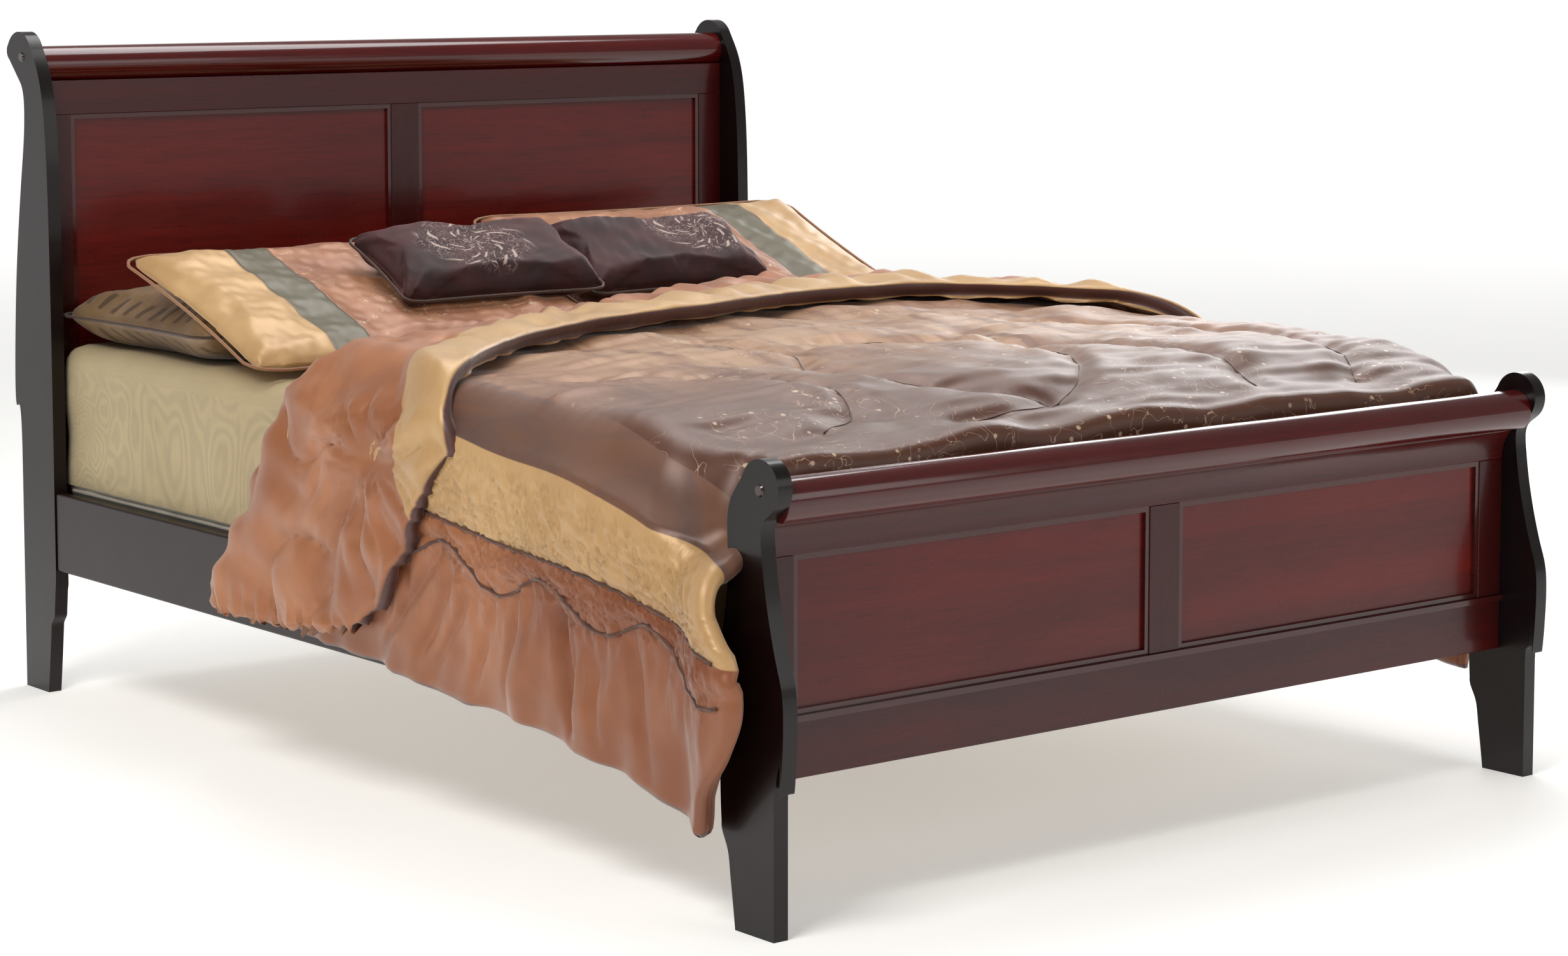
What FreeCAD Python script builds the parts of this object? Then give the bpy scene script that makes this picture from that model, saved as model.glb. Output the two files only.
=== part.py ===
import FreeCAD, Part
import math
import os

from FreeCAD import Placement, Rotation, Vector

# A queen sleigh bed with its bedding, millimetres.
# Frame: +X to the right seen from the foot, +Y from foot to head, +Z up, origin on the floor under
# the middle of the bed. A post's outline is given as (out, up): out is measured outwards from the
# outer face of that post's foot, so it is +Y at the headboard and -Y at the footboard.

DIMENSIONS = (
    # overall
    ("bed_width", 1588),
    ("headboard_foot", 1092),
    ("footboard_foot", 1098),
    ("headboard_top", 1194),
    ("footboard_top", 661),
    ("post_thickness", 25),
    ("foot_depth", 85),
    ("half_width", "=bed_width / 2"),
    ("inner_half", "=half_width - post_thickness"),
    ("inner_width", "=2 * inner_half"),
    ("post_middle", "=half_width - post_thickness / 2"),
    # frame-and-panel boards
    ("board_thickness", 20),
    ("panel_thickness", 8),
    ("panel_recess", 8),
    ("panel_tongue", 8),
    ("stile_width", 55),
    ("centre_stile_width", 62),
    ("bead_width", 8),
    ("bead_depth", 6),
    ("headboard_face", "=headboard_foot - 58"),
    ("footboard_face", "=footboard_foot - 55"),
    ("head_base_low", 300),
    ("head_base_high", 420),
    ("head_top_low", 1044),
    ("head_top_high", 1106),
    ("head_roll_radius", 34),
    ("head_roll_out", -30),
    ("foot_base_low", 205),
    ("foot_base_high", 294),
    ("foot_top_low", 518),
    ("foot_top_high", 572),
    ("foot_roll_radius", 33),
    ("foot_roll_out", -30),
    ("foot_flare", 19),
    ("plug_radius", 9),
    ("plug_proud", 2.5),
    # side rails and what carries the slats
    ("joint_depth_head", 121),
    ("joint_depth_foot", 118),
    ("rail_low", 227),
    ("rail_height", 142),
    ("rail_thickness", 20),
    ("rail_rounding", 3),
    ("rail_outer", "=post_middle + rail_thickness / 2"),
    ("rail_inner", "=rail_outer - rail_thickness"),
    ("rail_head_end", "=headboard_foot - joint_depth_head"),
    ("rail_foot_end", "=joint_depth_foot - footboard_foot"),
    ("rail_length", "=rail_head_end - rail_foot_end"),
    ("ledger_section", 25),
    ("ledger_low", 243),
    ("slat_count", 7),
    ("slat_width", 70),
    ("slat_thickness", 20),
    ("slat_pitch", 290),
    ("slat_length", "=2 * rail_inner - 12"),
    ("slat_low", "=ledger_low + ledger_section"),
    ("slat_top", "=slat_low + slat_thickness"),
    ("leg_section", 45),
    ("glide_radius", 16),
    ("glide_height", 9),
    ("glide_travel", 12),
    # hook-on bed fittings
    ("plate_width", 16),
    ("plate_height", 112),
    ("plate_thickness", 2.5),
    ("hook_thickness", 3),
    ("hook_spread", 28),
    # bedding
    ("soft_gap", 0.6),
    ("foundation_width", 1520),
    ("foundation_height", 50),
    ("mattress_width", 1510),
    ("mattress_foot_end", 990),
    ("mattress_head_end", 1020),
    ("mattress_height", 290),
    ("mattress_rounding", 38),
    ("sheet_cloth", 2),
    ("sheet_drop", 262),
    ("foundation_low", "=slat_top + soft_gap"),
    ("mattress_low", "=foundation_low + foundation_height + soft_gap"),
    ("mattress_top", "=mattress_low + mattress_height"),
    ("bedding_low", "=mattress_top + sheet_cloth + soft_gap"),
    ("comforter_loft", 56),
    ("comforter_drop_inner", 797),
    ("comforter_drop_loft", 34),
    ("comforter_half", "=comforter_drop_inner + comforter_drop_loft"),
    ("comforter_foot_end", 1006),
    ("comforter_top", "=bedding_low + comforter_loft"),
    ("fold_loft", 36),
    ("pillow_width", 700),
    ("pillow_side", 762),
    ("pillow_front", 490),
    ("pillow_back", 1026),
    ("sham_width", 777),
    ("sham_length", 500),
    ("sham_loft", 36),
    ("sham_side", 787),
    ("sham_rounding", 16),
    ("left_sham_front", 277),
    ("left_sham_tilt", 19),
    ("right_sham_front", 400),
    ("right_sham_tilt", 22),
    ("cushion_width", 430),
    ("cushion_length", 225),
    ("cushion_loft", 60),
    ("cushion_rounding", 28),
    ("left_cushion_start", -424),
    ("left_cushion_front", 388),
    ("left_cushion_tilt", 26),
    ("right_cushion_start", 12),
    ("right_cushion_front", 450),
    ("right_cushion_tilt", 28),
    ("pillow_lip", 12),
    ("pillow_crown", 108),
    ("pillow_back_height", 52),
    ("tuck_side_gap", 5),
    ("tuck_low", 470),
    ("tuck_loft", 20),
    ("tuck_overlap", 11),
    ("slot_side_play", 2),
    ("slot_height", 30),
    ("mortise_side_play", 4),
    ("mortise_height", 40),
    ("mortise_depth", 16),
    ("mortise_drop", 2),
    ("hook_arm_height", 18),
    ("hook_arm_drop", 3),
    ("hook_reach", 11),
    ("hook_lip_height", 24),
    ("hook_lip_drop", 6),
    ("hook_play", 0.8),
    ("bracket_screw_inset", 6),
    ("bracket_screw_length", 22),
    ("wood_screw_length", 38),
    ("ledger_screw_count", 6),
    ("ledger_end_gap", 30),
    ("dowel_radius", 4),
    ("dowel_length", 40),
    ("dowel_start", 26),
    ("plug_shank_step", 3),
    ("plug_shank_depth", 7),
    ("plug_taper", 2),
    ("head_plug_in", 27.5),
    ("head_plug_down", 45),
    ("foot_plug_in", 30.5),
    ("foot_plug_down", 43),
    ("roll_rise", 28),
    ("roll_dowel_out", 8),
    ("roll_dowel_down", 6),
    ("nosing_depth", 5),
    ("nosing_height", 9),
    ("leg_bolt_radius", 4),
    ("leg_bolt_length", 90),
    ("leg_bolt_head_radius", 9),
    ("leg_bolt_head_height", 3),
    ("leg_lift", 8),
    ("glide_socket_radius", 5),
    ("glide_socket_depth", 46),
    ("glide_collar_radius", 8),
    ("glide_collar_play", 0.4),
    ("glide_stem_radius", 4),
    ("glide_stem_length", 44),
)

SIDES = (("left", -1), ("right", 1))
LONG_BOX_EDGES = (2, 4, 6, 8)

doc = FreeCAD.newDocument("sleigh_bed")
nodes = []


def make_sheet():
    """Put every dimension in the sheet, under its own alias."""
    cells = doc.addObject("Spreadsheet::Sheet", "dims")
    for row, (alias, content) in enumerate(DIMENSIONS, start=1):
        cells.set("A%d" % row, alias)
        cells.set("B%d" % row, str(content))
        cells.setAlias("B%d" % row, alias)
    doc.recompute()
    return cells


sheet = make_sheet()


def dim(alias):
    return float(sheet.get(alias))


def keep(obj, label):
    """Name a finished piece; the label is its node's name."""
    obj.Label = label
    nodes.append(obj)
    return obj


# ---------------------------------------------------------------- making pieces


def bind(obj, properties):
    """Tie an object's properties to expressions on the sheet, dims.alias or sums of them."""
    for path, expression in properties.items():
        obj.setExpression(path, expression)
    return obj


def place(obj, x, y, z):
    return bind(obj, {"Placement.Base.x": x, "Placement.Base.y": y, "Placement.Base.z": z})


def board(name, size, corner):
    """A plain board: its three sizes and its lowest corner are expressions."""
    box = doc.addObject("Part::Box", name)
    bind(box, dict(zip(("Length", "Width", "Height"), size)))
    return place(box, *corner)


def origin_plane(body, role):
    return next(item for item in body.Origin.OriginFeatures if item.Role == role)


def add_sketch(body, name, plane, edges):
    sketch = body.newObject("Sketcher::SketchObject", name)
    sketch.AttachmentSupport = [(origin_plane(body, plane), "")]
    sketch.MapMode = "FlatFace"
    for edge in edges:
        sketch.addGeometry(edge, False)
    return sketch


def add_pad(body, name, plane, edges, length, reverse=False):
    """Pad one closed outline by an expression."""
    sketch = add_sketch(body, name + "_outline", plane, edges)
    pad = body.newObject("PartDesign::Pad", name + "_pad")
    pad.Profile = sketch
    pad.Reversed = reverse
    bind(pad, {"Length": length})
    body.Tip = pad
    sketch.Visibility = False
    return pad


def outline_to_edges(points):
    """Straight edges round a closed outline."""
    corners = [Vector(x, y, 0) for x, y in points]
    return [Part.LineSegment(a, b) for a, b in zip(corners, corners[1:] + corners[:1])]


def spline(points, start=None, end=None):
    """A smooth curve through points, with the directions that it leaves and arrives in."""
    curve = Part.BSplineCurve()
    knots = [Vector(x, y, 0) for x, y in points]
    if start and end:
        curve.interpolate(Points=knots, InitialTangent=Vector(*start, 0), FinalTangent=Vector(*end, 0))
    else:
        curve.interpolate(Points=knots)
    return curve


def line(a, b):
    return Part.LineSegment(Vector(*a, 0), Vector(*b, 0))


def arc(a, middle, b):
    return Part.Arc(Vector(*a, 0), Vector(*middle, 0), Vector(*b, 0))


def shape_piece(name, shape):
    """A piece made straight from a shape, for groups of like fasteners."""
    feature = doc.addObject("Part::Feature", name)
    feature.Shape = shape
    return feature


def rounded(blank, radius, edge_numbers):
    """Round the numbered edges of a blank."""
    doc.recompute()
    result = doc.addObject("Part::Fillet", blank.Name + "_rounded")
    result.Base = blank
    result.Edges = [(number, dim(radius), dim(radius)) for number in edge_numbers]
    return result


def worked(blank, tools):
    """A blank with the space of its fasteners and neighbours cut out of it."""
    cut = doc.addObject("Part::Cut", blank.Name + "_worked")
    cut.Base = blank
    if len(tools) == 1:
        cut.Tool = tools[0]
    else:
        gathered = doc.addObject("Part::Compound", blank.Name + "_cutters")
        gathered.Links = tools
        cut.Tool = gathered
    return cut


def turned(radius, length, start, direction):
    return Part.makeCylinder(radius, length, Vector(*start), Vector(*direction))


def screw(start, direction, length, shank=2.0, head=4.0):
    """A countersunk wood screw; start is the middle of its head's flat top."""
    sink = head - shank
    flat = Part.makeCone(head, shank, sink, Vector(*start), Vector(*direction))
    return flat.fuse(turned(shank, length, start, direction)).removeSplitter()


# ---------------------------------------------------------------- posts


def headboard_post_edges():
    """Outline of a headboard post as (out, up), round from the inner side of its scroll."""
    top = dim("headboard_top")
    depth = dim("joint_depth_head")
    scroll_start = (-58, top - 22)
    scroll_end = (24, top - 23)
    nose_end = (21, top - 50)
    neck_start = (-20, top - 91)
    knee = (0, 415)
    sole_out = (0, 0)
    sole_in = (-dim("foot_depth"), 0)
    leg_top = (-101, 128)
    shoulder = (-113, 143)
    land_low = (-depth, 225)
    land_high = (-depth, 560)
    return [
        arc(scroll_start, (-18, top), scroll_end),
        arc(scroll_end, (29.5, top - 35), nose_end),
        line(nose_end, neck_start),
        spline((neck_start, (-33.5, 1050), (-20, 945), (2, 810), (18, 650), (18, 515), knee),
               (-1, -1), (0, -1)),
        line(knee, sole_out),
        line(sole_out, sole_in),
        spline((sole_in, (-93, 60), leg_top)),
        line(leg_top, shoulder),
        spline((shoulder, (-117.5, 184), land_low), (-0.12, 1), (0, 1)),
        line(land_low, land_high),
        spline((land_high, (-118, 860), (-108, 1037), (-80, 1137), scroll_start), (0, 1), (0.5, 0.86)),
    ]


def footboard_post_edges():
    """Outline of a footboard post as (out, up), round from the inner side of its scroll."""
    top = dim("footboard_top")
    depth = dim("joint_depth_foot")
    scroll = (-30, top - 40)
    scroll_start = (scroll[0] - 36, scroll[1] + 17.4)
    scroll_end = (scroll[0] + 34.6, scroll[1] - 20)
    knee = (0, 190)
    sole_out = (0, 0)
    sole_in = (-dim("foot_depth"), 0)
    leg_top = (-101, 108)
    shoulder = (-114, 136)
    land_low = (-depth, 222)
    land_high = (-depth, 374)
    return [
        arc(scroll_start, (scroll[0], top), scroll_end),
        spline((scroll_end, (-24, 574), (-27, 537), (-15, 462), (7, 381), (20, 282), (13, 219), knee),
               (-0.5, -0.87), (-0.15, -1)),
        line(knee, sole_out),
        line(sole_out, sole_in),
        spline((sole_in, (-92, 50), leg_top)),
        line(leg_top, shoulder),
        spline((shoulder, (-117, 176), land_low), (-0.12, 1), (0, 1)),
        line(land_low, land_high),
        spline((land_high, (-104, 460), (-101, 540), (-94, 600), scroll_start), (0.1, 1), (0.45, 0.9)),
    ]


def mirrored_out(edges, end):
    """Turn an outline's out into Y: as it is at the head, reversed at the foot."""
    if end > 0:
        return edges
    flip = FreeCAD.Matrix()
    flip.scale(-1, 1, 1)
    turned_edges = []
    for edge in edges:
        copy = edge.copy()
        copy.transform(flip)
        turned_edges.append(copy)
    return turned_edges


def post_blank(name, edges, end, side):
    """A scroll post sawn from one board."""
    body = doc.addObject("PartDesign::Body", name)
    add_pad(body, name, "YZ_Plane", mirrored_out(edges, end), "dims.post_thickness")
    x = "dims.inner_half" if side > 0 else "-dims.half_width"
    y = "dims.headboard_foot" if end > 0 else "-dims.footboard_foot"
    return place(body, x, y, "0")


# ---------------------------------------------------------------- fittings shared by rails and posts

FITTING_LEVEL = dim("rail_low") + dim("rail_height") / 2


def joint_planes():
    """The four rail ends: X of the post's middle, Y of the joint, direction into the post."""
    planes = []
    for _, side in SIDES:
        x = side * dim("post_middle")
        planes.append((x, dim("rail_head_end"), 1))
        planes.append((x, dim("rail_foot_end"), -1))
    return planes


def centred_box(width, height, depth, x, y, z, into):
    """A box centred on (x, z) that runs from y by depth, towards +Y or -Y."""
    low = y if into > 0 else y - depth
    return Part.makeBox(width, depth, height, Vector(x - width / 2, low, z - height / 2))


def slot_plate(x, y, into):
    """The slotted plate let into a post: its slots take the rail's hooks."""
    thick = dim("plate_thickness")
    plate = centred_box(dim("plate_width"), dim("plate_height"), thick, x, y, FITTING_LEVEL, into)
    width = dim("hook_thickness") + dim("slot_side_play")
    for level in (-dim("hook_spread"), dim("hook_spread")):
        slot = centred_box(width, dim("slot_height"), thick, x, y, FITTING_LEVEL + level, into)
        plate = plate.cut(slot)
    return plate


def slot_mortise(x, y, into):
    """The pocket behind a slot plate, where its hooks drop."""
    room = []
    width = dim("hook_thickness") + dim("mortise_side_play")
    for level in (-dim("hook_spread"), dim("hook_spread")):
        z = FITTING_LEVEL + level - dim("mortise_drop")
        room.append(centred_box(width, dim("mortise_height"), dim("mortise_depth"), x, y, z, into))
    return Part.makeCompound(room)


def hook_plate(x, y, into):
    """The plate on a rail's end: two hooks reach through the slots and hang behind the plate."""
    thick = dim("plate_thickness")
    plate = centred_box(dim("plate_width"), dim("plate_height"), thick, x, y, FITTING_LEVEL, -into)
    width = dim("hook_thickness")
    reach = dim("hook_reach")
    lip_start = thick + dim("hook_play")
    for level in (-dim("hook_spread"), dim("hook_spread")):
        arm_z = FITTING_LEVEL + level - dim("hook_arm_drop")
        arm = centred_box(width, dim("hook_arm_height"), reach, x, y, arm_z, into)
        lip_z = FITTING_LEVEL + level - dim("hook_lip_drop")
        lip_y = y + into * lip_start
        lip = centred_box(width, dim("hook_lip_height"), reach - lip_start, x, lip_y, lip_z, into)
        plate = plate.fuse(arm).fuse(lip)
    return plate.removeSplitter()


def bracket_screw_pair(x, y, into):
    """Screws at the top and bottom of a plate pair: one into the post, one into the rail."""
    screws = []
    spread = dim("plate_height") / 2 - dim("bracket_screw_inset")
    for level in (-spread, spread):
        start = (x, y, FITTING_LEVEL + level)
        screws.append(screw(start, (0, into, 0), dim("bracket_screw_length")))
        screws.append(screw(start, (0, -into, 0), dim("bracket_screw_length")))
    return screws


def make_fittings():
    planes = joint_planes()
    shapes = {
        "post_slot_plates": [slot_plate(x, y, into) for x, y, into in planes],
        "rail_hook_plates": [hook_plate(x, y, into) for x, y, into in planes],
        "bracket_screws": [s for x, y, into in planes for s in bracket_screw_pair(x, y, into)],
    }
    drilled = Part.makeCompound(shapes["bracket_screws"])
    made = {}
    for name, group in shapes.items():
        cut_by_screws = name != "bracket_screws"
        solids = [piece.cut(drilled) if cut_by_screws else piece for piece in group]
        made[name] = keep(shape_piece(name, Part.makeCompound(solids)), name)
    mortises = [slot_mortise(x, y, into) for x, y, into in planes]
    made["mortises"] = shape_piece("slot_mortises", Part.makeCompound(mortises))
    return made


# ---------------------------------------------------------------- headboard and footboard


HEAD_DOWEL_LEVELS = (330, 390, 1058, 1092)
FOOT_DOWEL_LEVELS = (226, 272, 532, 558)


def dowel_group(name, face, levels, roll):
    """Dowels that join the boards and the crest roll to both posts; face is the boards' front."""
    middle = face + dim("board_thickness") / 2
    places = [(middle, level) for level in levels] + [roll]
    dowels = []
    for _, side in SIDES:
        for y, z in places:
            start = (side * (dim("inner_half") - dim("dowel_start")), y, z)
            dowels.append(turned(dim("dowel_radius"), dim("dowel_length"), start, (side, 0, 0)))
    return keep(shape_piece(name, Part.makeCompound(dowels)), name)


def plug_group(name, y, z):
    """A turned button that covers the fixing in each scroll: shank in the post, domed head outside."""
    plugs = []
    radius = dim("plug_radius")
    depth = dim("plug_shank_depth")
    for _, side in SIDES:
        outside = side * dim("half_width")
        shank = turned(radius - dim("plug_shank_step"), depth, (outside - side * depth, y, z), (side, 0, 0))
        head = Part.makeCone(radius, radius - dim("plug_taper"), dim("plug_proud"),
                             Vector(outside, y, z), Vector(side, 0, 0))
        plugs.append(shank.fuse(head).removeSplitter())
    return keep(shape_piece(name, Part.makeCompound(plugs)), name)


def crest_roll(name, y, z, radius, flat):
    """A round crest, flattened where it sits on the top rail."""
    half = math.sqrt(radius ** 2 - (z - flat) ** 2)
    edges = [
        arc((y - half, flat), (y, z + radius), (y + half, flat)),
        line((y + half, flat), (y - half, flat)),
    ]
    body = doc.addObject("PartDesign::Body", name)
    add_pad(body, name, "YZ_Plane", edges, "dims.inner_width")
    return place(body, "-dims.inner_half", "0", "0")


def bead_ring(left, right, low, high, front, depth):
    """A bead round one panel's opening."""
    width = dim("bead_width")
    outer = Part.makeBox(right - left, depth, high - low, Vector(left, front, low))
    inner = Part.makeBox(right - left - 2 * width, depth, high - low - 2 * width,
                         Vector(left + width, front, low + width))
    return outer.cut(inner)


def panel_boxes(prefix, front, levels):
    """The two floating panels; front is the expression of their lower Y, levels their opening."""
    low, high = levels
    width = "(dims.inner_half - dims.stile_width - dims.centre_stile_width / 2 + 2 * dims.panel_tongue)"
    height = "(dims.%s - dims.%s + 2 * dims.panel_tongue)" % (high, low)
    corners = {
        "left": "-dims.inner_half + dims.stile_width - dims.panel_tongue",
        "right": "dims.centre_stile_width / 2 - dims.panel_tongue",
    }
    made = []
    for side_name, _ in SIDES:
        name = "%s_panel_%s" % (prefix, side_name)
        corner = (corners[side_name], front, "dims.%s - dims.panel_tongue" % low)
        made.append(keep(board(name, (width, "dims.panel_thickness", height), corner), name))
    return made


def stile_boards(prefix, front, levels, panels, dowels):
    """Left, centre and right stile, grooved for the panels."""
    low, high = levels
    height = "dims.%s - dims.%s" % (high, low)
    stiles = (
        ("%s_stile_left" % prefix, "dims.stile_width", "-dims.inner_half"),
        ("%s_centre_stile" % prefix, "dims.centre_stile_width", "-dims.centre_stile_width / 2"),
        ("%s_stile_right" % prefix, "dims.stile_width", "dims.inner_half - dims.stile_width"),
    )
    for name, width, x in stiles:
        blank = board(name + "_blank", (width, "dims.board_thickness", height), (x, front, "dims.%s" % low))
        keep(worked(blank, panels), name)


def straight_rail(name, front, low, high, cutters):
    """A flat rail from post to post, grooved for the panels and bored for its dowels."""
    size = ("dims.inner_width", "dims.board_thickness", "dims.%s - dims.%s" % (high, low))
    blank = board(name + "_blank", size, ("-dims.inner_half", front, "dims.%s" % low))
    return keep(worked(blank, cutters), name)


def flared_rail(name, cutters):
    """The footboard's top rail: its face sweeps out under the crest roll."""
    back = -dim("footboard_face") + dim("board_thickness")
    face = -dim("footboard_face")
    low = dim("foot_top_low")
    high = dim("foot_top_high")
    lip = face - dim("foot_flare")
    lip_low = high - 6
    edges = [
        line((back, low), (back, high)),
        line((back, high), (lip, high)),
        line((lip, high), (lip, lip_low)),
        arc((lip, lip_low), (face - 5, (low + lip_low) / 2 + 3), (face, low)),
        line((face, low), (back, low)),
    ]
    body = doc.addObject("PartDesign::Body", name + "_blank")
    add_pad(body, name, "YZ_Plane", edges, "dims.inner_width")
    place(body, "-dims.inner_half", "0", "0")
    return keep(worked(body, cutters), name)


def panel_openings(low, high):
    """The two openings that the beads go round: left, right, low, high."""
    outer = dim("inner_half") - dim("stile_width")
    inner = dim("centre_stile_width") / 2
    return ((-outer, -inner, low, high), (inner, outer, low, high))


def make_headboard(fittings):
    roll_y = dim("headboard_foot") + dim("head_roll_out")
    roll_z = dim("head_top_high") + dim("roll_rise")
    roll_dowel = (roll_y + dim("roll_dowel_out"), roll_z - dim("roll_dowel_down"))
    plug_y = dim("headboard_foot") - dim("head_plug_in")
    dowels = dowel_group("headboard_dowels", dim("headboard_face"), HEAD_DOWEL_LEVELS, roll_dowel)
    plugs = plug_group("headboard_scroll_plugs", plug_y, dim("headboard_top") - dim("head_plug_down"))
    cutters = [dowels, plugs, fittings["mortises"], fittings["post_slot_plates"]]
    cutters.append(fittings["bracket_screws"])
    for side_name, side in SIDES:
        name = "headboard_post_" + side_name
        keep(worked(post_blank(name + "_blank", headboard_post_edges(), 1, side), cutters), name)
    roll = crest_roll("headboard_crest_roll_blank", roll_y, roll_z, dim("head_roll_radius"),
                      dim("head_top_high"))
    keep(worked(roll, [dowels]), "headboard_crest_roll")
    opening = ("head_base_high", "head_top_low")
    panels = panel_boxes("headboard", "dims.headboard_face + dims.panel_recess", opening)
    stile_boards("headboard", "dims.headboard_face", opening, panels, dowels)
    straight_rail("headboard_top_rail", "dims.headboard_face", "head_top_low", "head_top_high",
                  panels + [dowels])
    straight_rail("headboard_bottom_rail", "dims.headboard_face", "head_base_low", "head_base_high",
                  panels + [dowels])
    front = dim("headboard_face") + dim("panel_recess") - dim("bead_depth")
    rings = [bead_ring(*opening_box, front, dim("bead_depth"))
             for opening_box in panel_openings(dim("head_base_high"), dim("head_top_low"))]
    keep(shape_piece("headboard_panel_beads", Part.makeCompound(rings)), "headboard_panel_beads")


def make_footboard(fittings):
    roll_y = -dim("footboard_foot") - dim("foot_roll_out")
    roll_z = dim("foot_top_high") + dim("roll_rise")
    roll_dowel = (roll_y - dim("roll_dowel_out"), roll_z - dim("roll_dowel_down"))
    plug_y = dim("foot_plug_in") - dim("footboard_foot")
    dowels = dowel_group("footboard_dowels", -dim("footboard_face"), FOOT_DOWEL_LEVELS, roll_dowel)
    plugs = plug_group("footboard_scroll_plugs", plug_y, dim("footboard_top") - dim("foot_plug_down"))
    cutters = [dowels, plugs, fittings["mortises"], fittings["post_slot_plates"]]
    cutters.append(fittings["bracket_screws"])
    for side_name, side in SIDES:
        name = "footboard_post_" + side_name
        keep(worked(post_blank(name + "_blank", footboard_post_edges(), -1, side), cutters), name)
    roll = crest_roll("footboard_crest_roll_blank", roll_y, roll_z, dim("foot_roll_radius"),
                      dim("foot_top_high"))
    keep(worked(roll, [dowels]), "footboard_crest_roll")
    opening = ("foot_base_high", "foot_top_low")
    panel_front = "-dims.footboard_face + dims.panel_recess"
    panels = panel_boxes("footboard", panel_front, opening)
    stile_boards("footboard", "-dims.footboard_face", opening, panels, dowels)
    flared_rail("footboard_top_rail", panels + [dowels])
    straight_rail("footboard_bottom_rail", "-dims.footboard_face", "foot_base_low", "foot_base_high",
                  panels + [dowels])
    face = -dim("footboard_face")
    front = face + dim("panel_recess") - dim("bead_depth")
    mouldings = [bead_ring(*opening_box, front, dim("bead_depth"))
                 for opening_box in panel_openings(dim("foot_base_high"), dim("foot_top_low"))]
    depth = dim("nosing_depth")
    height = dim("nosing_height")
    corner = Vector(-dim("inner_half"), face - depth, dim("foot_base_high") - height)
    mouldings.append(Part.makeBox(dim("inner_width"), depth, height, corner))
    keep(shape_piece("footboard_panel_beads", Part.makeCompound(mouldings)), "footboard_panel_beads")


# ---------------------------------------------------------------- side rails, slats and centre legs


def spaced(count):
    """Y of a number of places, one slat pitch apart and centred on the bed."""
    return [(number - (count - 1) / 2) * dim("slat_pitch") for number in range(int(count))]


def make_sides(fittings):
    slat_screws = []
    ledger_screws = []
    for _, side in SIDES:
        ledger_middle = side * (dim("rail_inner") - dim("ledger_section") / 2)
        for y in spaced(dim("slat_count")):
            start = (ledger_middle, y, dim("slat_top"))
            slat_screws.append(screw(start, (0, 0, -1), dim("wood_screw_length")))
        ledger_face = side * (dim("rail_inner") - dim("ledger_section"))
        for y in spaced(dim("ledger_screw_count")):
            start = (ledger_face, y, dim("ledger_low") + dim("ledger_section") / 2)
            ledger_screws.append(screw(start, (side, 0, 0), dim("wood_screw_length")))
    slat_screw_node = keep(shape_piece("slat_screws", Part.makeCompound(slat_screws)), "slat_screws")
    ledger_screw_node = keep(shape_piece("ledger_screws", Part.makeCompound(ledger_screws)), "ledger_screws")
    for side_name, side in SIDES:
        name = "side_rail_" + side_name
        x = "dims.rail_inner" if side > 0 else "-dims.rail_outer"
        size = ("dims.rail_thickness", "dims.rail_length", "dims.rail_height")
        blank = board(name + "_blank", size, (x, "dims.rail_foot_end", "dims.rail_low"))
        blank = rounded(blank, "rail_rounding", LONG_BOX_EDGES)
        tools = [ledger_screw_node, fittings["rail_hook_plates"], fittings["bracket_screws"]]
        keep(worked(blank, tools), name)
        name = "ledger_strip_" + side_name
        x = "dims.rail_inner - dims.ledger_section" if side > 0 else "-dims.rail_inner"
        size = ("dims.ledger_section", "dims.rail_length - 2 * dims.ledger_end_gap", "dims.ledger_section")
        corner = (x, "dims.rail_foot_end + dims.ledger_end_gap", "dims.ledger_low")
        blank = board(name + "_blank", size, corner)
        keep(worked(blank, [ledger_screw_node, slat_screw_node]), name)
    return slat_screw_node


def leg_bolt(y):
    """A bolt down through a slat into a leg, its flat head flush with the slat."""
    length = dim("leg_bolt_length")
    thick = dim("leg_bolt_head_height")
    shank = turned(dim("leg_bolt_radius"), length, (0, y, dim("slat_top") - length), (0, 0, 1))
    head = turned(dim("leg_bolt_head_radius"), thick, (0, y, dim("slat_top") - thick), (0, 0, 1))
    return shank.fuse(head).removeSplitter()


def glide_shape(y, leg_low):
    """A levelling glide: foot pad, turning collar and threaded stem."""
    height = dim("glide_height")
    collar_height = leg_low - height - dim("glide_collar_play")
    pad = turned(dim("glide_radius"), height, (0, y, 0), (0, 0, 1))
    collar = turned(dim("glide_collar_radius"), collar_height, (0, y, height), (0, 0, 1))
    stem = turned(dim("glide_stem_radius"), dim("glide_stem_length"), (0, y, 1), (0, 0, 1))
    return pad.fuse(collar).fuse(stem).removeSplitter()


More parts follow.
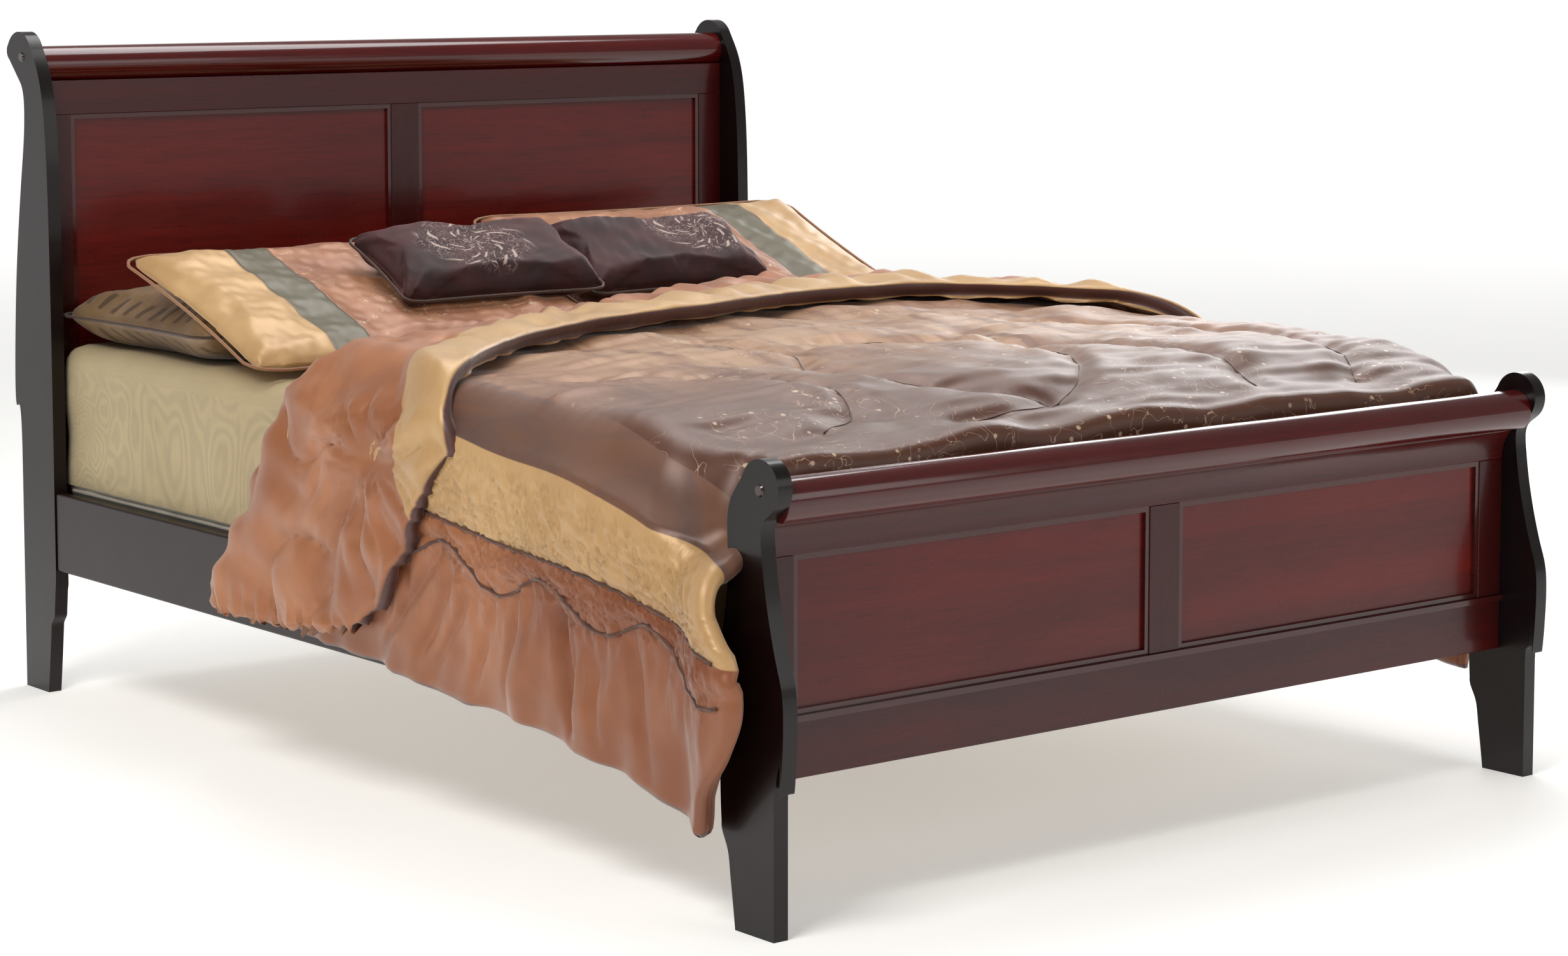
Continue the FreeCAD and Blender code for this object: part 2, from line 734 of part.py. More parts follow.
def make_slats_and_legs(slat_screw_node):
    positions = spaced(dim("slat_count"))
    middle = len(positions) // 2
    leg_places = positions[middle - 1:middle + 2]
    leg_low = dim("glide_height") + dim("leg_lift")
    bolts = [leg_bolt(y) for y in leg_places]
    bolt_node = keep(shape_piece("leg_bolts", Part.makeCompound(bolts)), "leg_bolts")
    for number, y in enumerate(positions, start=1):
        size = ("dims.slat_length", "dims.slat_width", "dims.slat_thickness")
        y_text = "%g - dims.slat_width / 2" % y
        blank = board("slat_%d_blank" % number, size, ("-dims.slat_length / 2", y_text, "dims.slat_low"))
        keep(worked(blank, [slat_screw_node, bolt_node]), "slat_%d" % number)
    for number, y in enumerate(leg_places, start=1):
        half = "dims.leg_section / 2"
        size = ("dims.leg_section", "dims.leg_section", "dims.slat_low - %g" % leg_low)
        corner = ("-" + half, "%g - %s" % (y, half), "%g" % leg_low)
        blank = board("centre_leg_%d_blank" % number, size, corner)
        bore = turned(dim("glide_socket_radius"), dim("glide_socket_depth"), (0, y, leg_low - 1), (0, 0, 1))
        socket = shape_piece("glide_socket_%d" % number, bore)
        keep(worked(blank, [bolt_node, socket]), "centre_leg_%d" % number)
        name = "levelling_glide_%d" % number
        keep(shape_piece(name, glide_shape(y, leg_low)), name)


# ---------------------------------------------------------------- bedding

ALL_BOX_EDGES = tuple(range(1, 13))


def soft_block(name, size, corner, radius):
    """A cushion-like block with every edge rounded."""
    return rounded(board(name + "_blank", size, corner), radius, ALL_BOX_EDGES)


def make_mattress():
    length = "dims.mattress_foot_end + dims.mattress_head_end"
    foundation = board("foundation", ("dims.foundation_width", length, "dims.foundation_height"),
                       ("-dims.foundation_width / 2", "-dims.mattress_foot_end", "dims.foundation_low"))
    keep(foundation, "foundation")
    mattress = soft_block("mattress", ("dims.mattress_width", length, "dims.mattress_height"),
                          ("-dims.mattress_width / 2", "-dims.mattress_foot_end", "dims.mattress_low"),
                          "mattress_rounding")
    keep(mattress, "mattress")
    cloth = "dims.sheet_cloth"
    cover_low = "dims.mattress_top - dims.sheet_drop"
    cover = soft_block("cover",
                       ("dims.mattress_width + 2 * " + cloth, length + " + 2 * " + cloth,
                        "dims.mattress_height + 2 * " + cloth),
                       ("-dims.mattress_width / 2 - " + cloth, "-dims.mattress_foot_end - " + cloth,
                        "dims.mattress_low - " + cloth), "mattress_rounding")
    open_bottom = board("cover_opening", ("dims.bed_width", "3 * dims.headboard_foot", cover_low),
                        ("-dims.half_width", "-1.5 * dims.headboard_foot", "0"))
    keep(worked(cover, [mattress, open_bottom]), "fitted_sheet")


def fold_line():
    """Head edge of the comforter in plan, where its end is turned back on itself."""
    half = dim("comforter_half")
    middle = [(-440, 20), (-50, 215), (200, 330), (320, 362), (490, 335), (665, 214)]
    return [(-half, 12)] + middle + [(half, 60)]


def flap_edge():
    """Free edge of the turned-back flap in plan, from the right side to the left."""
    half = dim("comforter_half")
    middle = [(700, -110), (580, 80), (314, 125), (-100, 35), (-350, -20), (-590, -170)]
    return [(half, -330)] + middle + [(-half, -390)]


def drop_outline(foot, top):
    """Outline of a side drop, as Y and Z."""
    hem = [(288, 268), (-140, 240), (-640, 200), (-976, 128)]
    return [(12, top)] + hem + [(-1068, 310), (foot, 500), (foot, top)]


def make_comforter():
    """One quilted cover: top, turned-back flap, a drop at each side and the tuck behind the mattress."""
    half = dim("comforter_half")
    foot = -dim("comforter_foot_end")
    low = dim("bedding_low")
    top = dim("comforter_top")
    body = doc.addObject("PartDesign::Body", "comforter")
    plan = [(-half, foot)] + fold_line() + [(half, foot)]
    add_pad(body, "comforter_top", "XY_Plane", outline_to_edges(plan), "dims.comforter_loft")
    add_pad(body, "comforter_flap", "XY_Plane", outline_to_edges(fold_line() + flap_edge()),
            "dims.comforter_loft + dims.fold_loft")
    drop = outline_to_edges([(y, z - low) for y, z in drop_outline(foot, top)])
    for side_name, side in SIDES:
        sketch = add_sketch(body, "comforter_drop_%s_outline" % side_name, "YZ_Plane", drop)
        sketch.AttachmentOffset = Placement(Vector(0, 0, side * half), Rotation())
        pad = body.newObject("PartDesign::Pad", "comforter_drop_%s_pad" % side_name)
        pad.Profile = sketch
        pad.Reversed = side > 0
        bind(pad, {"Length": "dims.comforter_drop_loft"})
        body.Tip = pad
    tuck_half = dim("inner_half") - dim("tuck_side_gap")
    tuck_low = dim("tuck_low") - low
    tuck = [(-tuck_half, 0), (tuck_half, 0), (tuck_half, tuck_low), (-tuck_half, tuck_low)]
    sketch = add_sketch(body, "comforter_tuck_outline", "XZ_Plane", outline_to_edges(tuck))
    sketch.AttachmentOffset = Placement(Vector(0, 0, -foot - dim("tuck_overlap")), Rotation())
    pad = body.newObject("PartDesign::Pad", "comforter_tuck_pad")
    pad.Profile = sketch
    bind(pad, {"Length": "dims.tuck_loft"})
    body.Tip = pad
    place(body, "0", "0", "dims.bedding_low")
    keep(body, "comforter")


def make_pillows():
    """Two sleeping pillows: flat below, crowned above, thin at the front edge."""
    low = dim("bedding_low")
    front = dim("pillow_front")
    back = dim("pillow_back")
    lip = dim("pillow_lip")
    crown = ((front + back) / 2 + lip, low + dim("pillow_crown"))
    back_top = low + dim("pillow_back_height")
    edges = [
        line((front, low), (front, low + lip)),
        arc((front, low + lip), crown, (back, back_top)),
        line((back, back_top), (back, low)),
        line((back, low), (front, low)),
    ]
    for side_name, side in SIDES:
        name = "pillow_" + side_name
        body = doc.addObject("PartDesign::Body", name)
        add_pad(body, name, "YZ_Plane", edges, "dims.pillow_width")
        x = "-dims.pillow_side" if side < 0 else "dims.pillow_side - dims.pillow_width"
        keep(place(body, x, "0", "0"), name)


def tilted_block(name, size, radius, corner, tilt):
    """A soft block that leans back: tilt is an expression in degrees about X."""
    block = soft_block(name, size, ("0", "0", "0"), radius)
    block.Placement = Placement(Vector(), Rotation(Vector(1, 0, 0), 20))
    place(block, *corner)
    bind(block, {"Placement.Rotation.Angle": tilt})
    return keep(block, name)


def surface_above(front, tilt, loft, base, y):
    """Height of a leaning block's upper face at y."""
    slope = math.radians(tilt)
    return base + (y - front) * math.tan(slope) + loft / math.cos(slope)


def make_shams_and_cushions():
    sham_size = ("dims.sham_width", "dims.sham_length", "dims.sham_loft")
    cushion_size = ("dims.cushion_width", "dims.cushion_length", "dims.cushion_loft")
    sham_starts = {"left": "-dims.sham_side", "right": "dims.sham_side - dims.sham_width"}
    for side_name, _ in SIDES:
        sham_x = sham_starts[side_name]
        cushion_x = "dims.%s_cushion_start" % side_name
        front = "dims.%s_sham_front" % side_name
        tilt = "dims.%s_sham_tilt" % side_name
        sham_corner = (sham_x, front, "dims.bedding_low")
        tilted_block("sham_" + side_name, sham_size, "sham_rounding", sham_corner, tilt)
        cushion_front = dim("%s_cushion_front" % side_name)
        rest = surface_above(dim("%s_sham_front" % side_name), dim("%s_sham_tilt" % side_name),
                             dim("sham_loft"), dim("bedding_low"), cushion_front) + dim("soft_gap")
        tilted_block("cushion_" + side_name, cushion_size, "cushion_rounding",
                     (cushion_x, "%g" % cushion_front, "%g" % rest), "dims.%s_cushion_tilt" % side_name)


# ---------------------------------------------------------------- checking and writing


def check_document():
    """Stop if any object failed or any piece isn't a valid solid."""
    doc.recompute()
    for obj in doc.Objects:
        if "Invalid" in obj.State or "Error" in obj.State:
            raise RuntimeError("%s failed: %s" % (obj.Label, obj.State))
    for obj in nodes:
        shape = obj.Shape
        if shape.isNull() or not shape.isValid() or not shape.Solids:
            raise RuntimeError("%s has no valid solid" % obj.Label)


def write_parts():
    os.makedirs("parts", exist_ok=True)
    for obj in nodes:
        obj.Shape.exportStep(os.path.join("parts", obj.Label + ".step"))
    print("%d nodes written" % len(nodes))


def main():
    fittings = make_fittings()
    make_headboard(fittings)
    make_footboard(fittings)
    slat_screw_node = make_sides(fittings)
    make_slats_and_legs(slat_screw_node)
    make_mattress()
    make_comforter()
    make_pillows()
    make_shams_and_cushions()
    check_document()
    write_parts()


main()
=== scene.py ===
"""Looks of a queen sleigh bed: lacquered cherry bedstead, slatted base and dressed bedding."""
import itertools
import logging
import math
from dataclasses import dataclass
from enum import Enum
from typing import Iterable, Sequence

import bmesh
import bpy
import numpy as np
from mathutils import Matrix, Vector


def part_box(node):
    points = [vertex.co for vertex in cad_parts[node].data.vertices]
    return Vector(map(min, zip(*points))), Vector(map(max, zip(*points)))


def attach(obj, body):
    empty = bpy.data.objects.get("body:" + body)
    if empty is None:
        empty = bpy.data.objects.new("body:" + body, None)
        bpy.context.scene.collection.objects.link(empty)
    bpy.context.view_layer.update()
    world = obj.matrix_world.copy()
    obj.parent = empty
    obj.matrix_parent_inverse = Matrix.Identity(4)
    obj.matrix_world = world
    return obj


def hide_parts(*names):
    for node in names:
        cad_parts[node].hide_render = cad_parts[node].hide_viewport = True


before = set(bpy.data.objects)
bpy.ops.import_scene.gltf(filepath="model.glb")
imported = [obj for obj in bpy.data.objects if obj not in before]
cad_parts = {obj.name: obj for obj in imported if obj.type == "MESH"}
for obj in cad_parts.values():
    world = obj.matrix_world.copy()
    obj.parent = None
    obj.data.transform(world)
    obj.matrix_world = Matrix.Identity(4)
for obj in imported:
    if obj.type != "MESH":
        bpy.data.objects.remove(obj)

LOG = logging.getLogger("sleigh_bed")
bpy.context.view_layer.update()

Colour = tuple[float, float, float]
Point = tuple[float, float, float]
Array = np.ndarray


# ------------------------------------------------------------------ shader maths


class Signal:
    """A shader socket that takes part in arithmetic; each operation adds a Math node."""

    def __init__(self, recipe: "Recipe", socket: bpy.types.NodeSocket) -> None:
        """Wrap a socket.

        Args:
            recipe: the material recipe that the socket belongs to.
            socket: an output socket of one of its nodes.
        """
        self.recipe = recipe
        self.socket = socket

    def math(self, operation: str, *others: "Signal | float") -> "Signal":
        """Apply a Math node's operation to this signal and others."""
        return self.recipe.math(operation, self, *others)

    def __add__(self, other: "Signal | float") -> "Signal":
        """Sum."""
        return self.recipe.math("ADD", self, other)

    def __radd__(self, other: float) -> "Signal":
        """Sum, number first."""
        return self.recipe.math("ADD", other, self)

    def __sub__(self, other: "Signal | float") -> "Signal":
        """Difference."""
        return self.recipe.math("SUBTRACT", self, other)

    def __rsub__(self, other: float) -> "Signal":
        """Difference, number first."""
        return self.recipe.math("SUBTRACT", other, self)

    def __mul__(self, other: "Signal | float") -> "Signal":
        """Product."""
        return self.recipe.math("MULTIPLY", self, other)

    def __rmul__(self, other: float) -> "Signal":
        """Product, number first."""
        return self.recipe.math("MULTIPLY", other, self)

    def __truediv__(self, other: "Signal | float") -> "Signal":
        """Quotient."""
        return self.recipe.math("DIVIDE", self, other)

    def __rtruediv__(self, other: float) -> "Signal":
        """Divide a number by this signal."""
        return self.recipe.math("DIVIDE", other, self)

    def __abs__(self) -> "Signal":
        """Size without sign."""
        return self.recipe.math("ABSOLUTE", self)

    def above(self, edge: float, blur: float) -> "Signal":
        """A mask that is 1 where this signal is above an edge.

        Args:
            edge: the level of the edge.
            blur: half the width of the soft step.

        Returns:
            The mask, from 0 to 1.
        """
        return self.recipe.node(
            "ShaderNodeMapRange",
            {"interpolation_type": "SMOOTHSTEP"},
            {"Value": self, "From Min": edge - blur, "From Max": edge + blur, "To Min": 0.0, "To Max": 1.0},
            "Result",
        )

    def below(self, edge: float, blur: float) -> "Signal":
        """A mask that is 1 where this signal is below an edge."""
        return 1.0 - self.above(edge, blur)

    def within(self, low: float, high: float, blur: float) -> "Signal":
        """A mask that is 1 between two levels."""
        return self.above(low, blur) * self.below(high, blur)


class Recipe:
    """Builds one material, or the studio's air, out of nodes."""

    def __init__(self, name: str, air: bpy.types.World | None = None) -> None:
        """Start empty.

        Args:
            name: the material's name.
            air: the world to build, in place of a new material.
        """
        self.material = air or bpy.data.materials.new(name)
        self.material.use_nodes = True
        self.tree = self.material.node_tree
        self.tree.nodes.clear()

    @staticmethod
    def _find(sockets: Iterable[bpy.types.NodeSocket], key: str | int) -> bpy.types.NodeSocket:
        """Pick a socket by number, identifier or name."""
        listed = list(sockets)
        if isinstance(key, int):
            return listed[key]
        for attribute in ("identifier", "name"):
            for socket in listed:
                if getattr(socket, attribute) == key:
                    return socket
        raise KeyError(key)

    def node(
        self,
        kind: str,
        settings: dict | None = None,
        inputs: dict | None = None,
        output: str | int = 0,
    ) -> Signal:
        """Add a node.

        Args:
            kind: the node's type.
            settings: its properties, set first; "stops" fills a colour ramp.
            inputs: a value, colour or Signal for each named socket.
            output: the socket that is returned.

        Returns:
            The chosen output as a Signal.
        """
        made = self.tree.nodes.new(kind)
        for key, value in (settings or {}).items():
            if key == "stops":
                self._fill_ramp(made.color_ramp, value)
            else:
                setattr(made, key, value)
        for key, value in (inputs or {}).items():
            socket = self._find(made.inputs, key)
            if isinstance(value, Signal):
                self.tree.links.new(value.socket, socket)
            elif isinstance(value, tuple) and len(value) == 3 and len(socket.default_value) == 4:
                socket.default_value = (*value, 1.0)
            else:
                socket.default_value = value
        return Signal(self, self._find(made.outputs, output))

    @staticmethod
    def _fill_ramp(ramp: bpy.types.ColorRamp, stops: Sequence[tuple[float, Colour]]) -> None:
        """Set a colour ramp's stops."""
        while len(ramp.elements) > 1:
            ramp.elements.remove(ramp.elements[-1])
        for number, (place, colour) in enumerate(stops):
            element = ramp.elements[0] if number == 0 else ramp.elements.new(place)
            element.position = place
            element.color = (*colour, 1.0)

    def math(self, operation: str, *values: Signal | float) -> Signal:
        """One Math node."""
        return self.node("ShaderNodeMath", {"operation": operation}, dict(enumerate(values)))

    def mix(self, factor: Signal | float, low: Signal | Colour, high: Signal | Colour, blend: str = "MIX") -> Signal:
        """Blend two colours through a Mix node."""
        return self.node(
            "ShaderNodeMix",
            {"data_type": "RGBA", "blend_type": blend, "clamp_factor": True},
            {"Factor_Float": factor, "A_Color": low, "B_Color": high},
            "Result_Color",
        )

    def ramp(self, factor: Signal, stops: Sequence[tuple[float, Colour]]) -> Signal:
        """Colours along a factor."""
        return self.node("ShaderNodeValToRGB", {"stops": stops}, {"Fac": factor}, "Color")

    def place(self, scale: Point = (1, 1, 1), shift: Point = (0, 0, 0)) -> Signal:
        """The bed's own coordinates in metres, scaled and shifted."""
        coordinates = self.node("ShaderNodeTexCoord", output="Object")
        return self.stretch(coordinates, scale, shift)

    def cloth_place(self, scale: Point = (1, 1, 1), shift: Point = (0, 0, 0)) -> Signal:
        """Coordinates along and across the cloth, in metres, scaled and shifted."""
        coordinates = self.node("ShaderNodeUVMap", {"uv_map": "cloth"}, output="UV")
        return self.stretch(coordinates, scale, shift)

    def stretch(self, vector: Signal, scale: Point, shift: Point) -> Signal:
        """Scale a vector, then shift it."""
        return self.node(
            "ShaderNodeVectorMath", {"operation": "MULTIPLY_ADD"}, {0: vector, 1: scale, 2: shift}, "Vector"
        )

    def axes(self, vector: Signal) -> tuple[Signal, Signal, Signal]:
        """The three numbers of a vector."""
        first = self.node("ShaderNodeSeparateXYZ", inputs={"Vector": vector}, output="X")
        node = first.socket.node
        return first, Signal(self, node.outputs["Y"]), Signal(self, node.outputs["Z"])

    def noise(
        self, vector: Signal, scale: float, detail: float = 4.0, rough: float = 0.5, swirl: float = 0.0
    ) -> Signal:
        """Soft noise from 0 to 1."""
        return self.node(
            "ShaderNodeTexNoise",
            inputs={"Vector": vector, "Scale": scale, "Detail": detail, "Roughness": rough, "Distortion": swirl},
            output=0,
        )

    def finish(
        self, surface: dict, height: Signal | None = None, depth: float = 0.001, strength: float = 0.5
    ) -> bpy.types.Material:
        """Close the recipe with a Principled shader.

        Args:
            surface: values and links of the shader's sockets.
            height: relief from 0 to 1, if the surface has any.
            depth: how deep the relief is, in metres.
            strength: how strongly it shades.

        Returns:
            The finished material.
        """
        inputs = dict(surface)
        if height is not None:
            inputs["Normal"] = self.node(
                "ShaderNodeBump", inputs={"Height": height, "Distance": depth, "Strength": strength}, output="Normal"
            )
        shader = self.node("ShaderNodeBsdfPrincipled", inputs=inputs, output="BSDF")
        out = self.tree.nodes.new("ShaderNodeOutputMaterial")
        self.tree.links.new(shader.socket, out.inputs["Surface"])
        return self.material


def tint(red: float, green: float, blue: float) -> Colour:
    """A colour as it looks on a screen, 0 to 255, turned into linear light."""

    def linear(level: float) -> float:
        """One channel in linear light."""
        share = level / 255.0
        return share / 12.92 if share <= 0.04045 else ((share + 0.055) / 1.055) ** 2.4

    return (linear(red), linear(green), linear(blue))


# ------------------------------------------------------------------ finishes


class Grain(Enum):
    """The direction that a board's grain runs in."""

    ALONG_X = (0.35, 9.0, 9.0)
    ALONG_Y = (9.0, 0.35, 9.0)
    ALONG_Z = (9.0, 9.0, 0.35)


@dataclass(frozen=True)
class Lacquer:
    """Stained hardwood under gloss lacquer."""

    name: str
    dark: Colour
    light: Colour
    grain: Grain = Grain.ALONG_X
    roughness: float = 0.26
    coat: float = 0.5

    def material(self) -> bpy.types.Material:
        """The material, with figure, pores and faint orange peel."""
        recipe = Recipe(self.name)
        along = recipe.place(self.grain.value)
        figure = recipe.noise(along, 2.2, 5.0, 0.55, 0.8)
        pores = recipe.noise(along, 38.0, 3.0, 0.6)
        blotch = recipe.noise(recipe.place(), 3.1, 2.0, 0.5)
        streak = (figure * 0.6 + pores * 0.4).above(0.5, 0.3)
        wood = recipe.mix(streak, self.dark, self.light)
        wood = recipe.mix(blotch.above(0.5, 0.35) * 0.5, wood, self.dark)
        wood = recipe.mix(pores.below(0.36, 0.05) * 0.25, wood, (0.004, 0.001, 0.001))
        polish = recipe.noise(recipe.place(), 14.0, 4.0, 0.6)
        peel = recipe.noise(recipe.place(), 160.0, 2.0, 0.5)
        return recipe.finish(
            {
                "Base Color": wood,
                "Roughness": polish * 0.14 + (self.roughness - 0.07),
                "Coat Weight": polish * 0.1 + self.coat,
                "Coat Roughness": 0.1,
                "Specular IOR Level": 0.3,
            },
            pores * 0.6 + peel * 0.4,
            0.0004,
            0.25,
        )


@dataclass(frozen=True)
class RawTimber:
    """Planed, unfinished softwood or plywood of the base."""

    name: str
    dark: Colour
    light: Colour
    grain: Grain = Grain.ALONG_X

    def material(self) -> bpy.types.Material:
        """The material, with annual rings and fibre."""
        recipe = Recipe(self.name)
        along = recipe.place(self.grain.value)
        rings = recipe.noise(along, 3.0, 4.0, 0.6, 1.5)
        fibre = recipe.noise(along, 60.0, 3.0, 0.7)
        wood = recipe.mix((rings * 0.75 + fibre * 0.25).above(0.5, 0.2), self.dark, self.light)
        return recipe.finish(
            {"Base Color": wood, "Roughness": fibre * 0.2 + 0.55}, rings * 0.4 + fibre * 0.6, 0.0008, 0.4
        )


@dataclass(frozen=True)
class Metal:
    """Plated or blackened steel hardware."""

    name: str
    shade: Colour
    roughness: float = 0.35

    def material(self) -> bpy.types.Material:
        """The material, brushed and a little worn."""
        recipe = Recipe(self.name)
        brushed = recipe.noise(recipe.place((40.0, 400.0, 400.0)), 1.0, 3.0, 0.6)
        worn = recipe.noise(recipe.place(), 90.0, 4.0, 0.6)
        dull = tuple(0.55 * level for level in self.shade)
        colour = recipe.mix(worn.above(0.58, 0.1), self.shade, dull)
        return recipe.finish(
            {"Base Color": colour, "Roughness": brushed * 0.25 + self.roughness - 0.1, "Metallic": 1.0},
            brushed,
            0.0002,
            0.3,
        )


@dataclass(frozen=True)
class MouldedPlastic:
    """Fine-textured moulded plastic."""

    name: str
    shade: Colour

    def material(self) -> bpy.types.Material:
        """The material, with a spark-eroded texture."""
        recipe = Recipe(self.name)
        stipple = recipe.noise(recipe.place(), 900.0, 2.0, 0.6)
        cloud = recipe.noise(recipe.place(), 30.0, 3.0, 0.5)
        pale = tuple(min(1.0, level * 1.5 + 0.01) for level in self.shade)
        colour = recipe.mix(cloud, self.shade, pale)
        return recipe.finish({"Base Color": colour, "Roughness": stipple * 0.2 + 0.4}, stipple, 0.0002, 0.3)


class Weave:
    """Thread relief shared by the cloths."""

    def __init__(self, recipe: Recipe, pitch: float) -> None:
        """Lay warp and weft lines.

        Args:
            recipe: the material recipe.
            pitch: the distance between threads, in metres.
        """
        self.recipe = recipe
        across, along, up = recipe.axes(recipe.place())
        turn = math.tau / pitch
        waver = recipe.noise(recipe.place(), 45.0, 2.0, 0.5) * 2.0
        self.warp = recipe.math("SINE", across * turn + waver) * 0.5 + 0.5
        self.weft = recipe.math("SINE", (along + up) * turn + waver) * 0.5 + 0.5
        self.relief = self.warp * self.weft
        self.slub = recipe.noise(recipe.place((1.0, 1.0, 1.0)), 420.0, 3.0, 0.7)


@dataclass(frozen=True)
class PlainCloth:
    """A woven cloth of one yarn colour."""

    name: str
    shade: Colour
    shadow: Colour
    pitch: float = 0.0009
    roughness: float = 0.8
    sheen: float = 0.25
    crease: float = 0.3

    def material(self) -> bpy.types.Material:
        """The material, with threads, slubs and soft creases."""
        recipe = Recipe(self.name)
        weave = Weave(recipe, self.pitch)
        cloud = recipe.noise(recipe.place(), 6.0, 4.0, 0.55)
        crumple = recipe.noise(recipe.place((1.0, 1.0, 0.5)), 9.0, 3.0, 0.5, 1.2)
        colour = recipe.mix(cloud.above(0.5, 0.3) * 0.6 + weave.slub * 0.25, self.shade, self.shadow)
        return recipe.finish(
            {
                "Base Color": colour,
                "Roughness": weave.slub * 0.15 + (self.roughness - 0.08),
                "Sheen Weight": self.sheen,
                "Sheen Roughness": 0.4,
            },
            crumple * self.crease + weave.relief * 0.04 + weave.slub * 0.04,
            0.012,
            0.5,
        )


@dataclass(frozen=True)
class SatinPalette:
    """Yarn colours of the bedding's satins, with the painted highlight and painted shade laid over them."""

    copper: Colour = tint(176, 116, 78)
    # Deeper copper; on the comforter's drop it also serves as painted shade.
    copper_deep_and_shade: Colour = tint(124, 68, 38)
    gold: Colour = tint(196, 158, 108)
    gold_deep: Colour = tint(156, 114, 70)
    mauve: Colour = tint(94, 70, 62)
    field: Colour = tint(132, 82, 48)
    # The next two are painted light on the field: a highlight, then a shade.
    field_highlight: Colour = tint(182, 146, 112)
    field_shade: Colour = tint(70, 32, 15)
    hem: Colour = tint(84, 54, 50)
    olive: Colour = tint(98, 92, 72)
    thread: Colour = tint(216, 188, 160)
    terracotta: Colour = tint(176, 122, 86)


PALETTE = SatinPalette()


class SatinRecipe(Recipe):
    """A recipe with the parts that every satin shares."""

    def sheen_threads(self) -> Signal:
        """Fine float threads of the satin."""
        across, along, up = self.axes(self.place())
        waver = self.noise(self.place(), 30.0, 2.0, 0.5) * 3.0
        return self.math("SINE", (along + up * 0.3 + across * 0.2) * (math.tau / 0.0011) + waver) * 0.5 + 0.5

    def crush(self) -> Signal:
        """Small crush marks of a thin satin."""
        return self.noise(self.place((1.0, 1.0, 0.6)), 22.0, 4.0, 0.55, 1.6)

    def close_satin(
        self, colour: Signal, relief: Signal, depth: float, roughness: float = 0.42
    ) -> bpy.types.Material:
        """Finish a satin.

        Args:
            colour: the cloth's colour.
            relief: its relief, from 0 to 1.
            depth: how deep the relief is, in metres.
            roughness: how broad its highlights are.

        Returns:
            The material.
        """
        threads = self.sheen_threads()
        crush = self.crush()
        return self.finish(
            {
                "Base Color": colour,
                "Roughness": crush * 0.14 + (roughness - 0.07),
                "Metallic": 0.12,
                "Sheen Weight": 0.25,
                "Sheen Roughness": 0.35,
                "Specular IOR Level": 0.55,
            },
            relief + crush * 0.06 + threads * 0.01,
            depth,
            0.5,
        )


@dataclass(frozen=True)
class CoverLayout:
    """Where the comforter's seams run, measured up from its hem, in metres."""

    piping: float = 0.300
    gold_top: float = 0.43
    mauve_top: float = 0.53
    wave_mean: float = 0.245
    wave_height: float = 0.024
    wave_pitch: float = 0.262
    wave_start: float = -0.595


